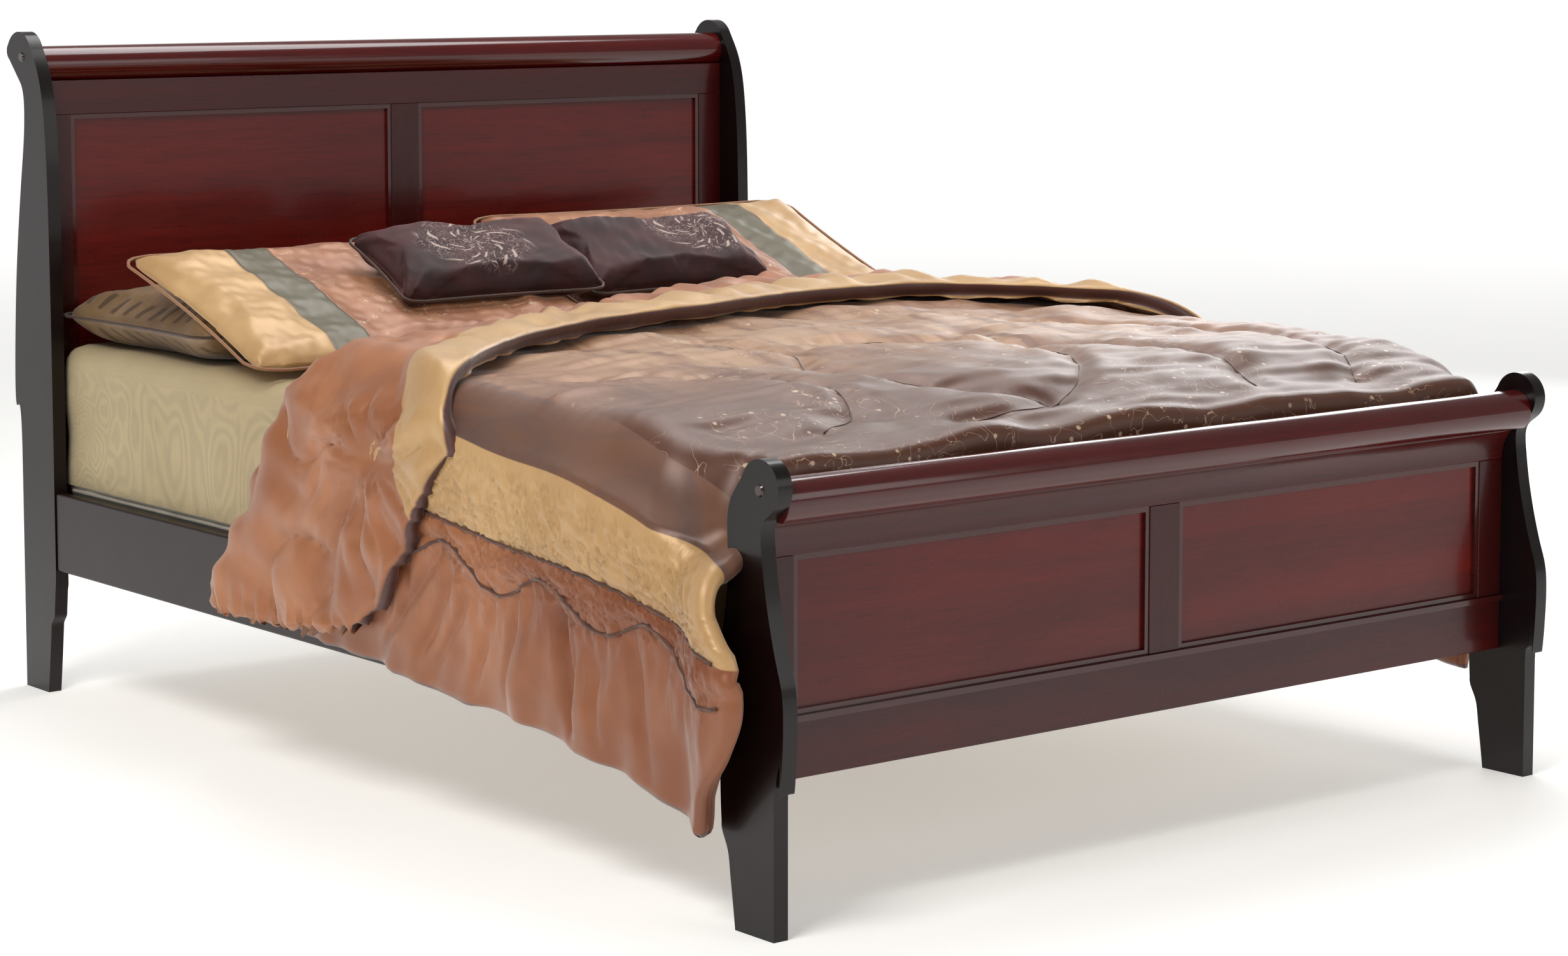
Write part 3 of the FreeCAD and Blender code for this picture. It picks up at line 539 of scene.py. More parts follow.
@dataclass(frozen=True)
class CoverSatin:
    """The comforter's face: field, mauve band, gathered gold band and copper drop."""

    name: str
    layout: CoverLayout

    def material(self) -> bpy.types.Material:
        """The material, laid out by the distance from the hem, with painted highlight and painted shade on the field
        and drop.
        """
        recipe = SatinRecipe(self.name)
        rise, along, _ = recipe.axes(recipe.cloth_place())
        across, _, _ = recipe.axes(recipe.place())
        cloud = recipe.noise(recipe.place(), 3.5, 4.0, 0.6)
        streaks = recipe.noise(recipe.place((14.0, 2.2, 3.0)), 1.4, 4.0, 0.6, 0.8)

        copper = recipe.mix(cloud.above(0.5, 0.25), PALETTE.copper, PALETTE.copper_deep_and_shade)
        # Painted shade: the copper drop darkens towards the foot and near the hem.
        copper = recipe.mix(along.below(-0.62, 0.35) * 0.55, copper, PALETTE.copper_deep_and_shade)
        copper = recipe.mix(rise.below(0.07, 0.07) * 0.45, copper, PALETTE.copper_deep_and_shade)
        gold = recipe.mix(cloud.above(0.55, 0.2) * 0.6, PALETTE.gold, PALETTE.gold_deep)
        mauve = recipe.mix(streaks.above(0.5, 0.2) * 0.5, PALETTE.mauve, PALETTE.field)

        # Painted highlight: lighter satin streaks in a pool over the middle of the top.
        light = streaks.above(0.5, 0.2) * 0.75 + 0.15
        middle = along.within(-0.62, 0.1, 0.3) * across.within(-0.62, 0.55, 0.35)
        field = recipe.mix(light * middle, PALETTE.field, PALETTE.field_highlight)
        # Painted shade: the field darkens towards the foot and along its dark satin streaks.
        field = recipe.mix(along.below(-0.62, 0.3) * 0.85, field, PALETTE.field_shade)
        field = recipe.mix(streaks.below(0.4, 0.12) * 0.5, field, PALETTE.field_shade)
        field = recipe.mix(self._sprays(recipe) * 0.75, field, PALETTE.thread)

        colour = recipe.mix(rise.above(self.layout.piping, 0.001), copper, gold)
        colour = recipe.mix(rise.above(self.layout.gold_top, 0.001), colour, mauve)
        colour = recipe.mix(rise.above(self.layout.mauve_top, 0.001), colour, field)
        colour = recipe.mix(rise.below(0.007, 0.001), colour, PALETTE.hem)
        return recipe.close_satin(colour, self._gathers(recipe, rise, along), 0.010)

    def _sprays(self, recipe: Recipe) -> Signal:
        """Sparse embroidered sprays of small blossoms on curling stems."""
        patch = recipe.noise(recipe.place(shift=(3.0, 1.0, 0.0)), 5.5, 2.0, 0.5).above(0.51, 0.03)
        curl = recipe.noise(recipe.place(), 17.0, 2.0, 0.4, 1.8)
        stem = curl.within(0.495, 0.505, 0.004)
        cell = recipe.node(
            "ShaderNodeTexVoronoi", {"feature": "F1"}, {"Vector": recipe.place(), "Scale": 34.0}, "Distance"
        )
        return (stem * 0.7 + cell.below(0.13, 0.03) * 0.9) * patch

    def _gathers(self, recipe: Recipe, rise: Signal, along: Signal) -> Signal:
        """Fine gathers that run away from the piping and from the wavy seam."""
        fine = recipe.noise(recipe.cloth_place((3.0, 62.0, 1.0)), 1.0, 3.0, 0.55, 0.4)
        broad = recipe.noise(recipe.cloth_place((2.0, 24.0, 1.0), (5.0, 0.0, 0.0)), 1.0, 2.0, 0.5, 0.5)
        phase = recipe.math("COSINE", (along - self.layout.wave_start) * (math.tau / self.layout.wave_pitch))
        wave = phase * self.layout.wave_height + self.layout.wave_mean
        ruche = self.layout.piping - self.layout.wave_mean + 0.03
        above_wave = (rise - wave).within(0.0, ruche, 0.012)
        below_wave = (wave - rise).within(0.0, 0.11, 0.05)
        ruched = rise.within(self.layout.piping, self.layout.gold_top, 0.012)
        crimped = above_wave * 0.7 + ruched * 0.55 + below_wave * 0.5
        return fine * crimped + broad * (ruched * 0.3 + below_wave * 0.5)


@dataclass(frozen=True)
class TurnbackSatin:
    """The comforter's reverse where it is turned down: copper with a gold edge strip."""

    name: str
    strip: float
    strip_end: float

    def material(self) -> bpy.types.Material:
        """The material, laid out by the distance from the turned edge, with a painted highlight to the right."""
        recipe = SatinRecipe(self.name)
        inward, along, _ = recipe.axes(recipe.cloth_place())
        across, _, _ = recipe.axes(recipe.place())
        cloud = recipe.noise(recipe.place(), 5.0, 4.0, 0.6, 0.6)
        copper = recipe.mix(cloud.above(0.5, 0.2) * 0.6, PALETTE.copper, PALETTE.copper_deep_and_shade)
        # Painted highlight: the copper turns pinker towards the right.
        highlit_copper = recipe.mix(across.above(0.35, 0.5) * 0.5, copper, tint(188, 128, 104))
        gold = recipe.mix(cloud.above(0.55, 0.2) * 0.5, PALETTE.gold, PALETTE.gold_deep)
        width = along.above(-self.strip_end, 0.06) * self.strip
        colour = recipe.mix((width - inward).above(0.0, 0.002), highlit_copper, gold)
        colour = recipe.mix(inward.below(0.006, 0.002), colour, PALETTE.hem)
        puckers = recipe.noise(recipe.cloth_place((9.0, 26.0, 1.0)), 1.0, 3.0, 0.5, 0.6)
        edge = inward.below(0.05, 0.05)
        return recipe.close_satin(colour, puckers * (edge * 0.35 + 0.12), 0.008)


@dataclass(frozen=True)
class ShamSatin:
    """A sham's face: gold end panel, olive stripe and embroidered terracotta field."""

    name: str
    gold_edge: float
    stripe_edge: float
    mirrored: bool = False

    def material(self) -> bpy.types.Material:
        """The material, laid out across the sham."""
        recipe = SatinRecipe(self.name)
        place, _, _ = recipe.axes(recipe.cloth_place())
        across = place * (-1.0 if self.mirrored else 1.0)
        cloud = recipe.noise(recipe.place(), 6.0, 4.0, 0.6)
        gold = recipe.mix(cloud.above(0.55, 0.2) * 0.6, PALETTE.gold, PALETTE.gold_deep)
        field = recipe.mix(cloud.above(0.5, 0.25), PALETTE.terracotta, tint(140, 88, 62))
        curl = recipe.noise(recipe.cloth_place(), 19.0, 2.0, 0.4, 1.9)
        patch = recipe.noise(recipe.cloth_place(), 6.0, 1.0, 0.5).above(0.52, 0.03)
        cell = recipe.node(
            "ShaderNodeTexVoronoi", {"feature": "F1"}, {"Vector": recipe.cloth_place(), "Scale": 30.0}, "Distance"
        )
        spray = (curl.within(0.493, 0.507, 0.004) + cell.below(0.13, 0.03)) * patch
        field = recipe.mix(spray * 0.7, field, PALETTE.thread)
        colour = recipe.mix(across.above(self.gold_edge, 0.001), gold, PALETTE.olive)
        colour = recipe.mix(across.above(self.stripe_edge, 0.001), colour, field)
        seam = across.within(self.gold_edge - 0.002, self.gold_edge + 0.002, 0.002)
        seam = seam + across.within(self.stripe_edge - 0.002, self.stripe_edge + 0.002, 0.002)
        colour = recipe.mix(seam * 0.6, colour, PALETTE.hem)
        puckers = recipe.noise(recipe.cloth_place((20.0, 20.0, 1.0)), 1.0, 3.0, 0.5, 1.0)
        return recipe.close_satin(colour, puckers * 0.2 - seam * 0.25, 0.008)


@dataclass(frozen=True)
class SwirlVelvet:
    """Short dark velvet with an embroidered swirl of leaves and blossoms."""

    name: str
    centre: tuple[float, float]
    reach: float = 0.075

    def material(self) -> bpy.types.Material:
        """The material; the swirl is drawn with polar rules round its centre."""
        recipe = Recipe(self.name)
        place = recipe.cloth_place(shift=(-self.centre[0], -self.centre[1], 0.0))
        bend = recipe.noise(place, 9.0, 1.0, 0.4) - 0.5
        across, along, _ = recipe.axes(place)
        across, along = across + bend * 0.02, along + bend * 0.015
        far = recipe.math("SQRT", across * across * 0.45 + along * along)
        angle = recipe.math("ARCTAN2", along, across)
        petals = recipe.math("SINE", angle * 5.0 + far * 95.0)
        ring = recipe.math("SINE", far * 260.0 + angle * 2.0)
        thread = petals.within(0.35, 0.8, 0.08) * ring.above(-0.1, 0.2)
        stems = recipe.noise(place, 42.0, 1.5, 0.4, 2.2).within(0.485, 0.515, 0.01)
        inside = far.below(self.reach, 0.012)
        motif = recipe.math("MINIMUM", (thread + stems * 0.9) * inside, 1.0)
        nap = recipe.noise(recipe.place(), 1100.0, 2.0, 0.6)
        cloud = recipe.noise(recipe.place(), 11.0, 4.0, 0.6)
        pile = recipe.mix(cloud.above(0.5, 0.2), tint(62, 22, 24), tint(34, 10, 12))
        colour = recipe.mix(motif, pile, tint(176, 158, 150))
        return recipe.finish(
            {
                "Base Color": colour,
                "Roughness": nap * 0.2 + 0.6,
                "Sheen Weight": 0.6,
                "Sheen Roughness": 0.3,
                "Sheen Tint": (0.55, 0.3, 0.3, 1.0),
            },
            nap * 0.15 + motif * 0.5 + cloud * 0.3,
            0.004,
            0.6,
        )


@dataclass(frozen=True)
class PillowSatin:
    """A pillowcase with a row of dash embroidery along its open hem."""

    name: str
    row_place: float

    def material(self) -> bpy.types.Material:
        """The material, with dashes in a staggered row."""
        recipe = SatinRecipe(self.name)
        across, along, _ = recipe.axes(recipe.cloth_place())
        cloud = recipe.noise(recipe.place(), 6.0, 4.0, 0.6)
        base = recipe.mix(cloud.above(0.5, 0.25), tint(140, 112, 78), tint(104, 78, 50))
        dash = recipe.math("SINE", along * (math.tau / 0.045) + across * 60.0)
        row = abs(across).within(self.row_place, self.row_place + 0.03, 0.002)
        colour = recipe.mix(dash.above(0.55, 0.1) * row * 0.7, base, tint(52, 34, 24))
        return recipe.close_satin(colour, cloud * 0.2, 0.006, 0.5)


# ------------------------------------------------------------------ fixing and mesh tools


@dataclass(frozen=True)
class Fixing:
    """What carries a piece, which nodes it stands for and the slot of its finish."""

    body: str
    nodes: tuple[str, ...] = ()
    slot: str = ""

    def fasten(self, piece: bpy.types.Object) -> bpy.types.Object:
        """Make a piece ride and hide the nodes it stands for."""
        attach(piece, self.body)
        if self.nodes:
            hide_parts(*self.nodes)
        LOG.info("%s rides on %s", piece.name, self.body)
        return piece


class Workshop:
    """Makes Blender objects out of points and faces."""

    @staticmethod
    def mesh(
        name: str,
        points: Array | Sequence[Point],
        faces: Sequence[Sequence[int]],
        material: bpy.types.Material,
        cloth: Array | None = None,
        smooth: bool = True,
    ) -> bpy.types.Object:
        """Make an object.

        Args:
            name: its name.
            points: its vertices, in metres.
            faces: its faces, as vertex numbers.
            material: its finish.
            cloth: cloth coordinates of each vertex, in metres.
            smooth: whether it is shaded smooth.

        Returns:
            The new object.
        """
        mesh = bpy.data.meshes.new(name)
        mesh.from_pydata([tuple(map(float, p)) for p in points], [], [tuple(map(int, f)) for f in faces])
        mesh.materials.append(material)
        if smooth:
            mesh.shade_smooth()
        if cloth is not None:
            Workshop.lay_cloth(mesh, cloth)
        piece = bpy.data.objects.new(name, mesh)
        bpy.context.scene.collection.objects.link(piece)
        return piece

    @staticmethod
    def lay_cloth(mesh: bpy.types.Mesh, cloth: Array) -> None:
        """Store cloth coordinates on a mesh, one pair for each vertex."""
        layer = mesh.uv_layers.new(name="cloth")
        corners = np.empty(len(mesh.loops), dtype=np.int32)
        mesh.loops.foreach_get("vertex_index", corners)
        layer.data.foreach_set("uv", np.asarray(cloth, dtype=np.float32)[corners].ravel())

    @staticmethod
    def soften(piece: bpy.types.Object, radius: float, steps: int = 3) -> bpy.types.Object:
        """Round the sharp edges of a piece with a bevel.

        Args:
            piece: the object.
            radius: the width of the bevel, in metres.
            steps: how many facets it has.

        Returns:
            The same object.
        """
        bevel = piece.modifiers.new("soft_edges", "BEVEL")
        bevel.width = radius
        bevel.segments = steps
        bevel.limit_method = "ANGLE"
        bevel.angle_limit = math.radians(40)
        bevel.harden_normals = True
        return piece

    @staticmethod
    def tube(name: str, path: Array, radius: float, material: bpy.types.Material, sides: int = 8) -> bpy.types.Object:
        """A closed tube along a path of points."""
        path = np.asarray(path, dtype=float)
        ahead = np.gradient(path, axis=0)
        ahead /= np.linalg.norm(ahead, axis=1, keepdims=True) + 1e-12
        first = np.cross(ahead, (0.31, 0.22, 0.92))
        first /= np.linalg.norm(first, axis=1, keepdims=True) + 1e-12
        second = np.cross(ahead, first)
        turns = np.linspace(0.0, math.tau, sides, endpoint=False)
        ring = first[:, None] * np.cos(turns)[None, :, None] + second[:, None] * np.sin(turns)[None, :, None]
        points = (path[:, None] + radius * ring).reshape(-1, 3)
        faces = []
        for step in range(len(path) - 1):
            for side in range(sides):
                here, there = step * sides, (step + 1) * sides
                beside = (side + 1) % sides
                faces.append((here + side, here + beside, there + beside, there + side))
        faces.append(tuple(range(sides))[::-1])
        faces.append(tuple((len(path) - 1) * sides + side for side in range(sides)))
        return Workshop.mesh(name, points, faces, material)


class Outline:
    """The side profile of a sawn board, taken from its node's end face."""

    CORNER = math.radians(28)
    STEP = 0.004

    def __init__(self, node: str) -> None:
        """Trace the profile.

        Args:
            node: the node whose largest-X face is traced.
        """
        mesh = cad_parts[node].data
        low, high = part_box(node)
        self.low, self.high = low[0], high[0]
        self.points = self._smooth(self._trace(mesh, high[0]))

    @staticmethod
    def _trace(mesh: bpy.types.Mesh, side: float) -> Array:
        """Walk the boundary of the faces that lie on a side plane; the longest loop is the profile."""
        places = [v.co.copy() for v in mesh.vertices]
        name_of = {}
        merged = [name_of.setdefault((round(p.y, 5), round(p.z, 5)), n) for n, p in enumerate(places)]
        edges: dict[tuple[int, int], int] = {}
        for face in mesh.polygons:
            if all(abs(places[v].x - side) < 2e-5 for v in face.vertices):
                ring = [merged[v] for v in face.vertices]
                for pair in zip(ring, ring[1:] + ring[:1]):
                    edges[pair] = edges.get(pair, 0) + 1
        onward = {a: b for (a, b) in edges if (b, a) not in edges}
        loops = []
        while onward:
            start, here = next(iter(onward.items()))
            del onward[start]
            loop = [start]
            while here != start and here in onward:
                loop.append(here)
                here = onward.pop(here)
            loops.append(np.array([(places[v].y, places[v].z) for v in loop]))
        return max(loops, key=lambda loop: np.linalg.norm(loop - np.roll(loop, 1, axis=0), axis=1).sum())

    def _smooth(self, loop: Array) -> Array:
        """Refine the curved runs of a loop and keep its corners."""
        before, after = loop - np.roll(loop, 1, axis=0), np.roll(loop, -1, axis=0) - loop
        turn = np.arctan2(before[:, 0] * after[:, 1] - before[:, 1] * after[:, 0], (before * after).sum(axis=1))
        sharp = np.abs(turn) > self.CORNER
        count, made = len(loop), []
        for n in range(count):
            p1, p2 = loop[n], loop[(n + 1) % count]
            p0 = loop[n - 1] if not sharp[n] else 2 * p1 - p2
            p3 = loop[(n + 2) % count] if not sharp[(n + 1) % count] else 2 * p2 - p1
            long = np.linalg.norm(p2 - p1)
            steps = 1 if long > 0.12 else max(1, int(long / self.STEP))
            for t in np.arange(steps) / steps:
                bend, twist = 2 * p0 - 5 * p1 + 4 * p2 - p3, 3 * p1 - p0 - 3 * p2 + p3
                made.append(0.5 * (2 * p1 + (p2 - p0) * t + bend * t**2 + twist * t**3))
        return np.array(made)


@dataclass(frozen=True)
class Prism:
    """A profile in Y and Z sawn through between two X planes."""

    name: str
    profile: Array
    low: float
    high: float
    radius: float = 0.003

    def make(self, material: bpy.types.Material) -> bpy.types.Object:
        """Build the prism with softened edges."""
        count = len(self.profile)
        points = [(x, y, z) for x in (self.low, self.high) for y, z in self.profile]
        faces = [(n, (n + 1) % count, (n + 1) % count + count, n + count) for n in range(count)]
        faces += [tuple(range(count))[::-1], tuple(range(count, 2 * count))]
        piece = Workshop.mesh(self.name, points, faces, material)
        fix = bmesh.new()
        fix.from_mesh(piece.data)
        bmesh.ops.recalc_face_normals(fix, faces=fix.faces)
        fix.to_mesh(piece.data)
        fix.free()
        return Workshop.soften(piece, self.radius)


@dataclass(frozen=True)
class Block:
    """A square-edged board between two corners, with softened edges."""

    name: str
    low: Point
    high: Point
    radius: float = 0.002

    def make(self, material: bpy.types.Material) -> bpy.types.Object:
        """Build the board."""
        corners = list(itertools.product(*zip(self.low, self.high)))
        faces = [(0, 1, 3, 2), (4, 6, 7, 5), (0, 4, 5, 1), (2, 3, 7, 6), (0, 2, 6, 4), (1, 5, 7, 3)]
        return Workshop.soften(Workshop.mesh(self.name, corners, faces, material), self.radius)


# ------------------------------------------------------------------ bedstead


class BedsteadFinishes:
    """The finished materials of the bedstead."""

    def __init__(self) -> None:
        """Mix every finish once."""
        # Painted shade: the posts' lacquer is near black, for the shade on their outer faces.
        self.post = self._lacquer("post", (8, 2, 3), (20, 6, 6), Grain.ALONG_Z, 0.32, 0.1)
        self.rail = self._lacquer("rail", (46, 6, 5), (80, 10, 7), Grain.ALONG_X, 0.28, 0.15)
        self.stile = self._lacquer("stile", (40, 5, 4), (68, 9, 7), Grain.ALONG_Z, 0.28, 0.12)
        self.panel = self._lacquer("panel", (66, 6, 4), (112, 20, 10), Grain.ALONG_X, 0.28, 0.12)
        self.crest = self._lacquer("crest", (58, 6, 5), (92, 12, 9), Grain.ALONG_X, 0.2, 0.55)
        # Painted shade: the side rails' lacquer is dark for the shade under the comforter's drop.
        self.side = self._lacquer("side_rail", (18, 5, 5), (34, 10, 9), Grain.ALONG_Y, 0.34, 0.1)
        self.bead = self._lacquer("bead", (48, 8, 6), (80, 18, 14), Grain.ALONG_X, 0.2, 0.5)
        self.plug = self._lacquer("plug", (30, 10, 9), (60, 22, 18), Grain.ALONG_Y, 0.24, 0.8)
        self.timber = self._timber("slat_pine", (166, 126, 84), (208, 172, 126), Grain.ALONG_X)
        self.ledger = self._timber("ledger_pine", (150, 112, 74), (196, 158, 112), Grain.ALONG_Y)
        self.leg = self._timber("leg_pine", (156, 118, 78), (200, 162, 118), Grain.ALONG_Z)
        self.steel = Metal("zinc_steel", (0.42, 0.42, 0.44)).material()
        self.black_steel = Metal("black_steel", (0.08, 0.08, 0.085), 0.45).material()
        self.plastic = MouldedPlastic("glide_plastic_finish", (0.018, 0.018, 0.02)).material()

    @staticmethod
    def _lacquer(
        name: str, dark: Colour, light: Colour, grain: Grain, roughness: float, coat: float
    ) -> bpy.types.Material:
        """One lacquered wood, with its two stain colours as they look on a screen; for the posts and side rails they
        are darkened with painted shade.
        """
        return Lacquer(f"{name}_lacquer", tint(*dark), tint(*light), grain, roughness, coat).material()

    @staticmethod
    def _timber(name: str, dark: Colour, light: Colour, grain: Grain) -> bpy.types.Material:
        """One bare timber, with its two colours as they look on a screen."""
        return RawTimber(name, tint(*dark), tint(*light), grain).material()


@dataclass
class EndFrame:
    """A headboard or footboard: two posts, a crest roll, framed panels and their beads."""

    kind: str
    finishes: BedsteadFinishes
    body: str = "bedstead"
    post_edge: float = 0.0035
    rail_edge: float = 0.0015
    board_edge: float = 0.001

    def node(self, part: str) -> str:
        """The full name of one of its nodes."""
        return f"{self.kind}_{part}"

    def build(self) -> None:
        """Build every piece."""
        self._posts()
        self._crest_roll()
        self._rails_and_stiles()
        self._panels()
        self._beads()
        self._hidden_hardware()

    def _fasten(self, piece: bpy.types.Object, part: str, slot: str = "cherry_wood") -> None:
        """Make a piece stand for one of this frame's nodes."""
        Fixing(self.body, (self.node(part),), slot).fasten(piece)

    def _posts(self) -> None:
        """Scroll-topped posts, sawn to the same profile on both sides."""
        profile = Outline(self.node("post_right"))
        for side, low, high in (("left", -profile.high, -profile.low), ("right", profile.low, profile.high)):
            post = Prism(f"{self.kind}.post.{side}", profile.points, low, high, self.post_edge).make(
                self.finishes.post
            )
            self._fasten(post, f"post_{side}", "dark_wood")

    def _crest_roll(self) -> None:
        """The round top roll, flat underneath where it sits on the rail."""
        low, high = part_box(self.node("crest_roll"))
        middle_y, radius = (low[1] + high[1]) / 2, (high[1] - low[1]) / 2
        middle_z = high[2] - radius
        flat = math.asin(min(1.0, (middle_z - low[2]) / radius))
        turns = np.linspace(-flat, math.pi + flat, 64)
        profile = np.column_stack([middle_y + radius * np.cos(turns), middle_z + radius * np.sin(turns)])
        roll = Prism(f"{self.kind}.crest_roll", profile, low[0], high[0], self.board_edge).make(
            self.finishes.crest
        )
        self._fasten(roll, "crest_roll")

    def _rails_and_stiles(self) -> None:
        """The rails, the two outer stiles and the centre stile."""
        top_low, top_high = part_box(self.node("top_rail"))
        flared = Outline(self.node("top_rail"))
        rail = Prism(f"{self.kind}.top_rail", flared.points, top_low[0], top_high[0], self.rail_edge).make(
            self.finishes.rail
        )
        self._fasten(rail, "top_rail")
        base_low, base_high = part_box(self.node("bottom_rail"))
        base = Block(f"{self.kind}.bottom_rail", tuple(base_low), tuple(base_high), self.rail_edge).make(
            self.finishes.rail
        )
        self._fasten(base, "bottom_rail")
        for part in ("stile_left", "centre_stile", "stile_right"):
            low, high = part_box(self.node(part))
            stile = Block(f"{self.kind}.{part}", tuple(low), tuple(high), self.board_edge).make(self.finishes.stile)
            self._fasten(stile, part)

    def _panels(self) -> None:
        """Flat panels held in the frame's grooves."""
        for part in ("panel_left", "panel_right"):
            low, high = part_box(self.node(part))
            panel = Block(f"{self.kind}.{part}", tuple(low), tuple(high), self.board_edge).make(self.finishes.panel)
            self._fasten(panel, part)

    def _beads(self) -> None:
        """Moulded beads round the panels, and the nosing that the node also carries."""
        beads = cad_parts[self.node("panel_beads")]
        Dresser.dress(self.node("panel_beads"), self.finishes.bead)
        Workshop.soften(beads, self.rail_edge, 2)

    def _hidden_hardware(self) -> None:
        """Dowels and the turned plugs that cover the scroll bolts."""
        Dresser.dress(self.node("dowels"), self.finishes.timber)
        Dresser.dress(self.node("scroll_plugs"), self.finishes.plug)


class Dresser:
    """Gives nodes that stay as they are their finish."""

    @staticmethod
    def dress(node: str, material: bpy.types.Material) -> None:
        """Put a material in every slot of a node."""
        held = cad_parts[node]
        for number in range(len(held.material_slots)):
            held.material_slots[number].material = material
        LOG.info("%s keeps its node", node)


@dataclass
class SideRails:
    """The two side rails with their ledgers, hook plates and screws."""

    finishes: BedsteadFinishes
    body: str = "bedstead"

    def build(self) -> None:
        """Build the rails and dress what they carry."""
        for side in ("left", "right"):
            node = f"side_rail_{side}"
            low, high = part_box(node)
            rail = Block(f"side_rail.{side}", tuple(low), tuple(high), 0.004).make(self.finishes.side)
            Fixing(self.body, (node,), "dark_wood").fasten(rail)
            Dresser.dress(f"ledger_strip_{side}", self.finishes.ledger)
        for node in ("ledger_screws", "bracket_screws"):
            Dresser.dress(node, self.finishes.steel)
        for node in ("rail_hook_plates", "post_slot_plates"):
            Dresser.dress(node, self.finishes.black_steel)


@dataclass
class SlattedBase:
    """The slats, the centre legs and their levelling glides."""

    finishes: BedsteadFinishes
    slats: int = 7
    legs: int = 3

    def build(self) -> None:
        """Dress the base."""
        for number in range(1, self.slats + 1):
            Dresser.dress(f"slat_{number}", self.finishes.timber)
        for number in range(1, self.legs + 1):
            Dresser.dress(f"centre_leg_{number}", self.finishes.leg)
            Dresser.dress(f"levelling_glide_{number}", self.finishes.plastic)
        for node in ("slat_screws", "leg_bolts"):
            Dresser.dress(node, self.finishes.steel)


# ------------------------------------------------------------------ cloth surfaces


class Ripple:
    """Smooth seeded noise made of crossing waves."""

    def __init__(self, seed: int, size: float, waves: int = 14, spread: float = 0.5) -> None:
        """Draw the waves.

        Args:
            seed: picks the pattern.
            size: the usual wavelength, in metres.
            waves: how many waves are added.
            spread: how far the wavelengths differ.
        """
        luck = np.random.default_rng(seed)
        angle = luck.uniform(0.0, math.tau, waves)
        number = math.tau / (size * (1.0 + spread * luck.uniform(-1.0, 1.0, waves)))
        self.across, self.along = number * np.cos(angle), number * np.sin(angle)
        self.phase = luck.uniform(0.0, math.tau, waves)

    def at(self, across: Array, along: Array) -> Array:
        """The noise at these places, mostly from -1 to 1."""
        total = np.zeros(np.broadcast(across, along).shape)
        for a, b, c in zip(self.across, self.along, self.phase):
            total += np.sin(a * across + b * along + c)
        return total / math.sqrt(len(self.phase)) / 1.2


def ease(value: Array | float, low: float, high: float) -> Array:
    """A soft step from 0 at low to 1 at high."""
    share = np.clip((np.asarray(value, dtype=float) - low) / (high - low), 0.0, 1.0)
    return share * share * (3.0 - 2.0 * share)


def arch(share: Array) -> Array:
    """A round arch that stands on 0 and 1 and is 1 high in the middle."""
    return np.sqrt(np.clip(np.sin(math.pi * np.clip(share, 0, 1)), 0, 1))


def through(knots: Sequence[tuple[float, float]], value: Array | float) -> Array:
    """A smooth curve through (input, output) knots."""
    x, y = np.array(sorted(knots)).T
    slope = np.gradient(y, x)
    value = np.clip(np.asarray(value, dtype=float), x[0], x[-1])
    n = np.clip(np.searchsorted(x, value) - 1, 0, len(x) - 2)
    wide = x[n + 1] - x[n]
    t = (value - x[n]) / wide
    return (
        (2 * t**3 - 3 * t**2 + 1) * y[n]
        + (t**3 - 2 * t**2 + t) * wide * slope[n]
        + (3 * t**2 - 2 * t**3) * y[n + 1]
        + (t**3 - t**2) * wide * slope[n + 1]
    )


class Route:
    """A smooth curve through points, measured by its own length."""

    def __init__(self, points: Sequence[Sequence[float]]) -> None:
        """Measure the curve.

        Args:
            points: what it passes through.
        """
        self.points = np.asarray(points, dtype=float)
        steps = np.linalg.norm(np.diff(self.points, axis=0), axis=1)
        self.share = np.concatenate([[0.0], np.cumsum(steps)]) / steps.sum()

    def at(self, share: Array) -> Array:
        """Points at shares of its length from 0 to 1."""
        share = np.asarray(share, dtype=float)
        return np.stack([through(list(zip(self.share, column)), share) for column in self.points.T], axis=-1)


def patch(bottom: Route, top: Route, first: Route, last: Route, rows: Array, columns: Array) -> Array:
    """Fill the space between four curves.

    Args:
        bottom: the curve at column share 0, along the rows.
        top: the curve at column share 1, along the rows.
        first: the curve at row share 0, along the columns.
        last: the curve at row share 1, along the columns.
        rows: the row shares.
        columns: the column shares.

    Returns:
        Points, rows by columns.
    """
    u, v = rows[:, None, None], columns[None, :, None]
    low, high = bottom.at(rows)[:, None], top.at(rows)[:, None]
    start, end = first.at(columns)[None], last.at(columns)[None]
    ruled = (1 - v) * low + v * high + (1 - u) * start + u * end
    corners = (
        (1 - u) * (1 - v) * low[:1] + u * (1 - v) * low[-1:] + (1 - u) * v * high[:1] + u * v * high[-1:]
    )
    return ruled - corners


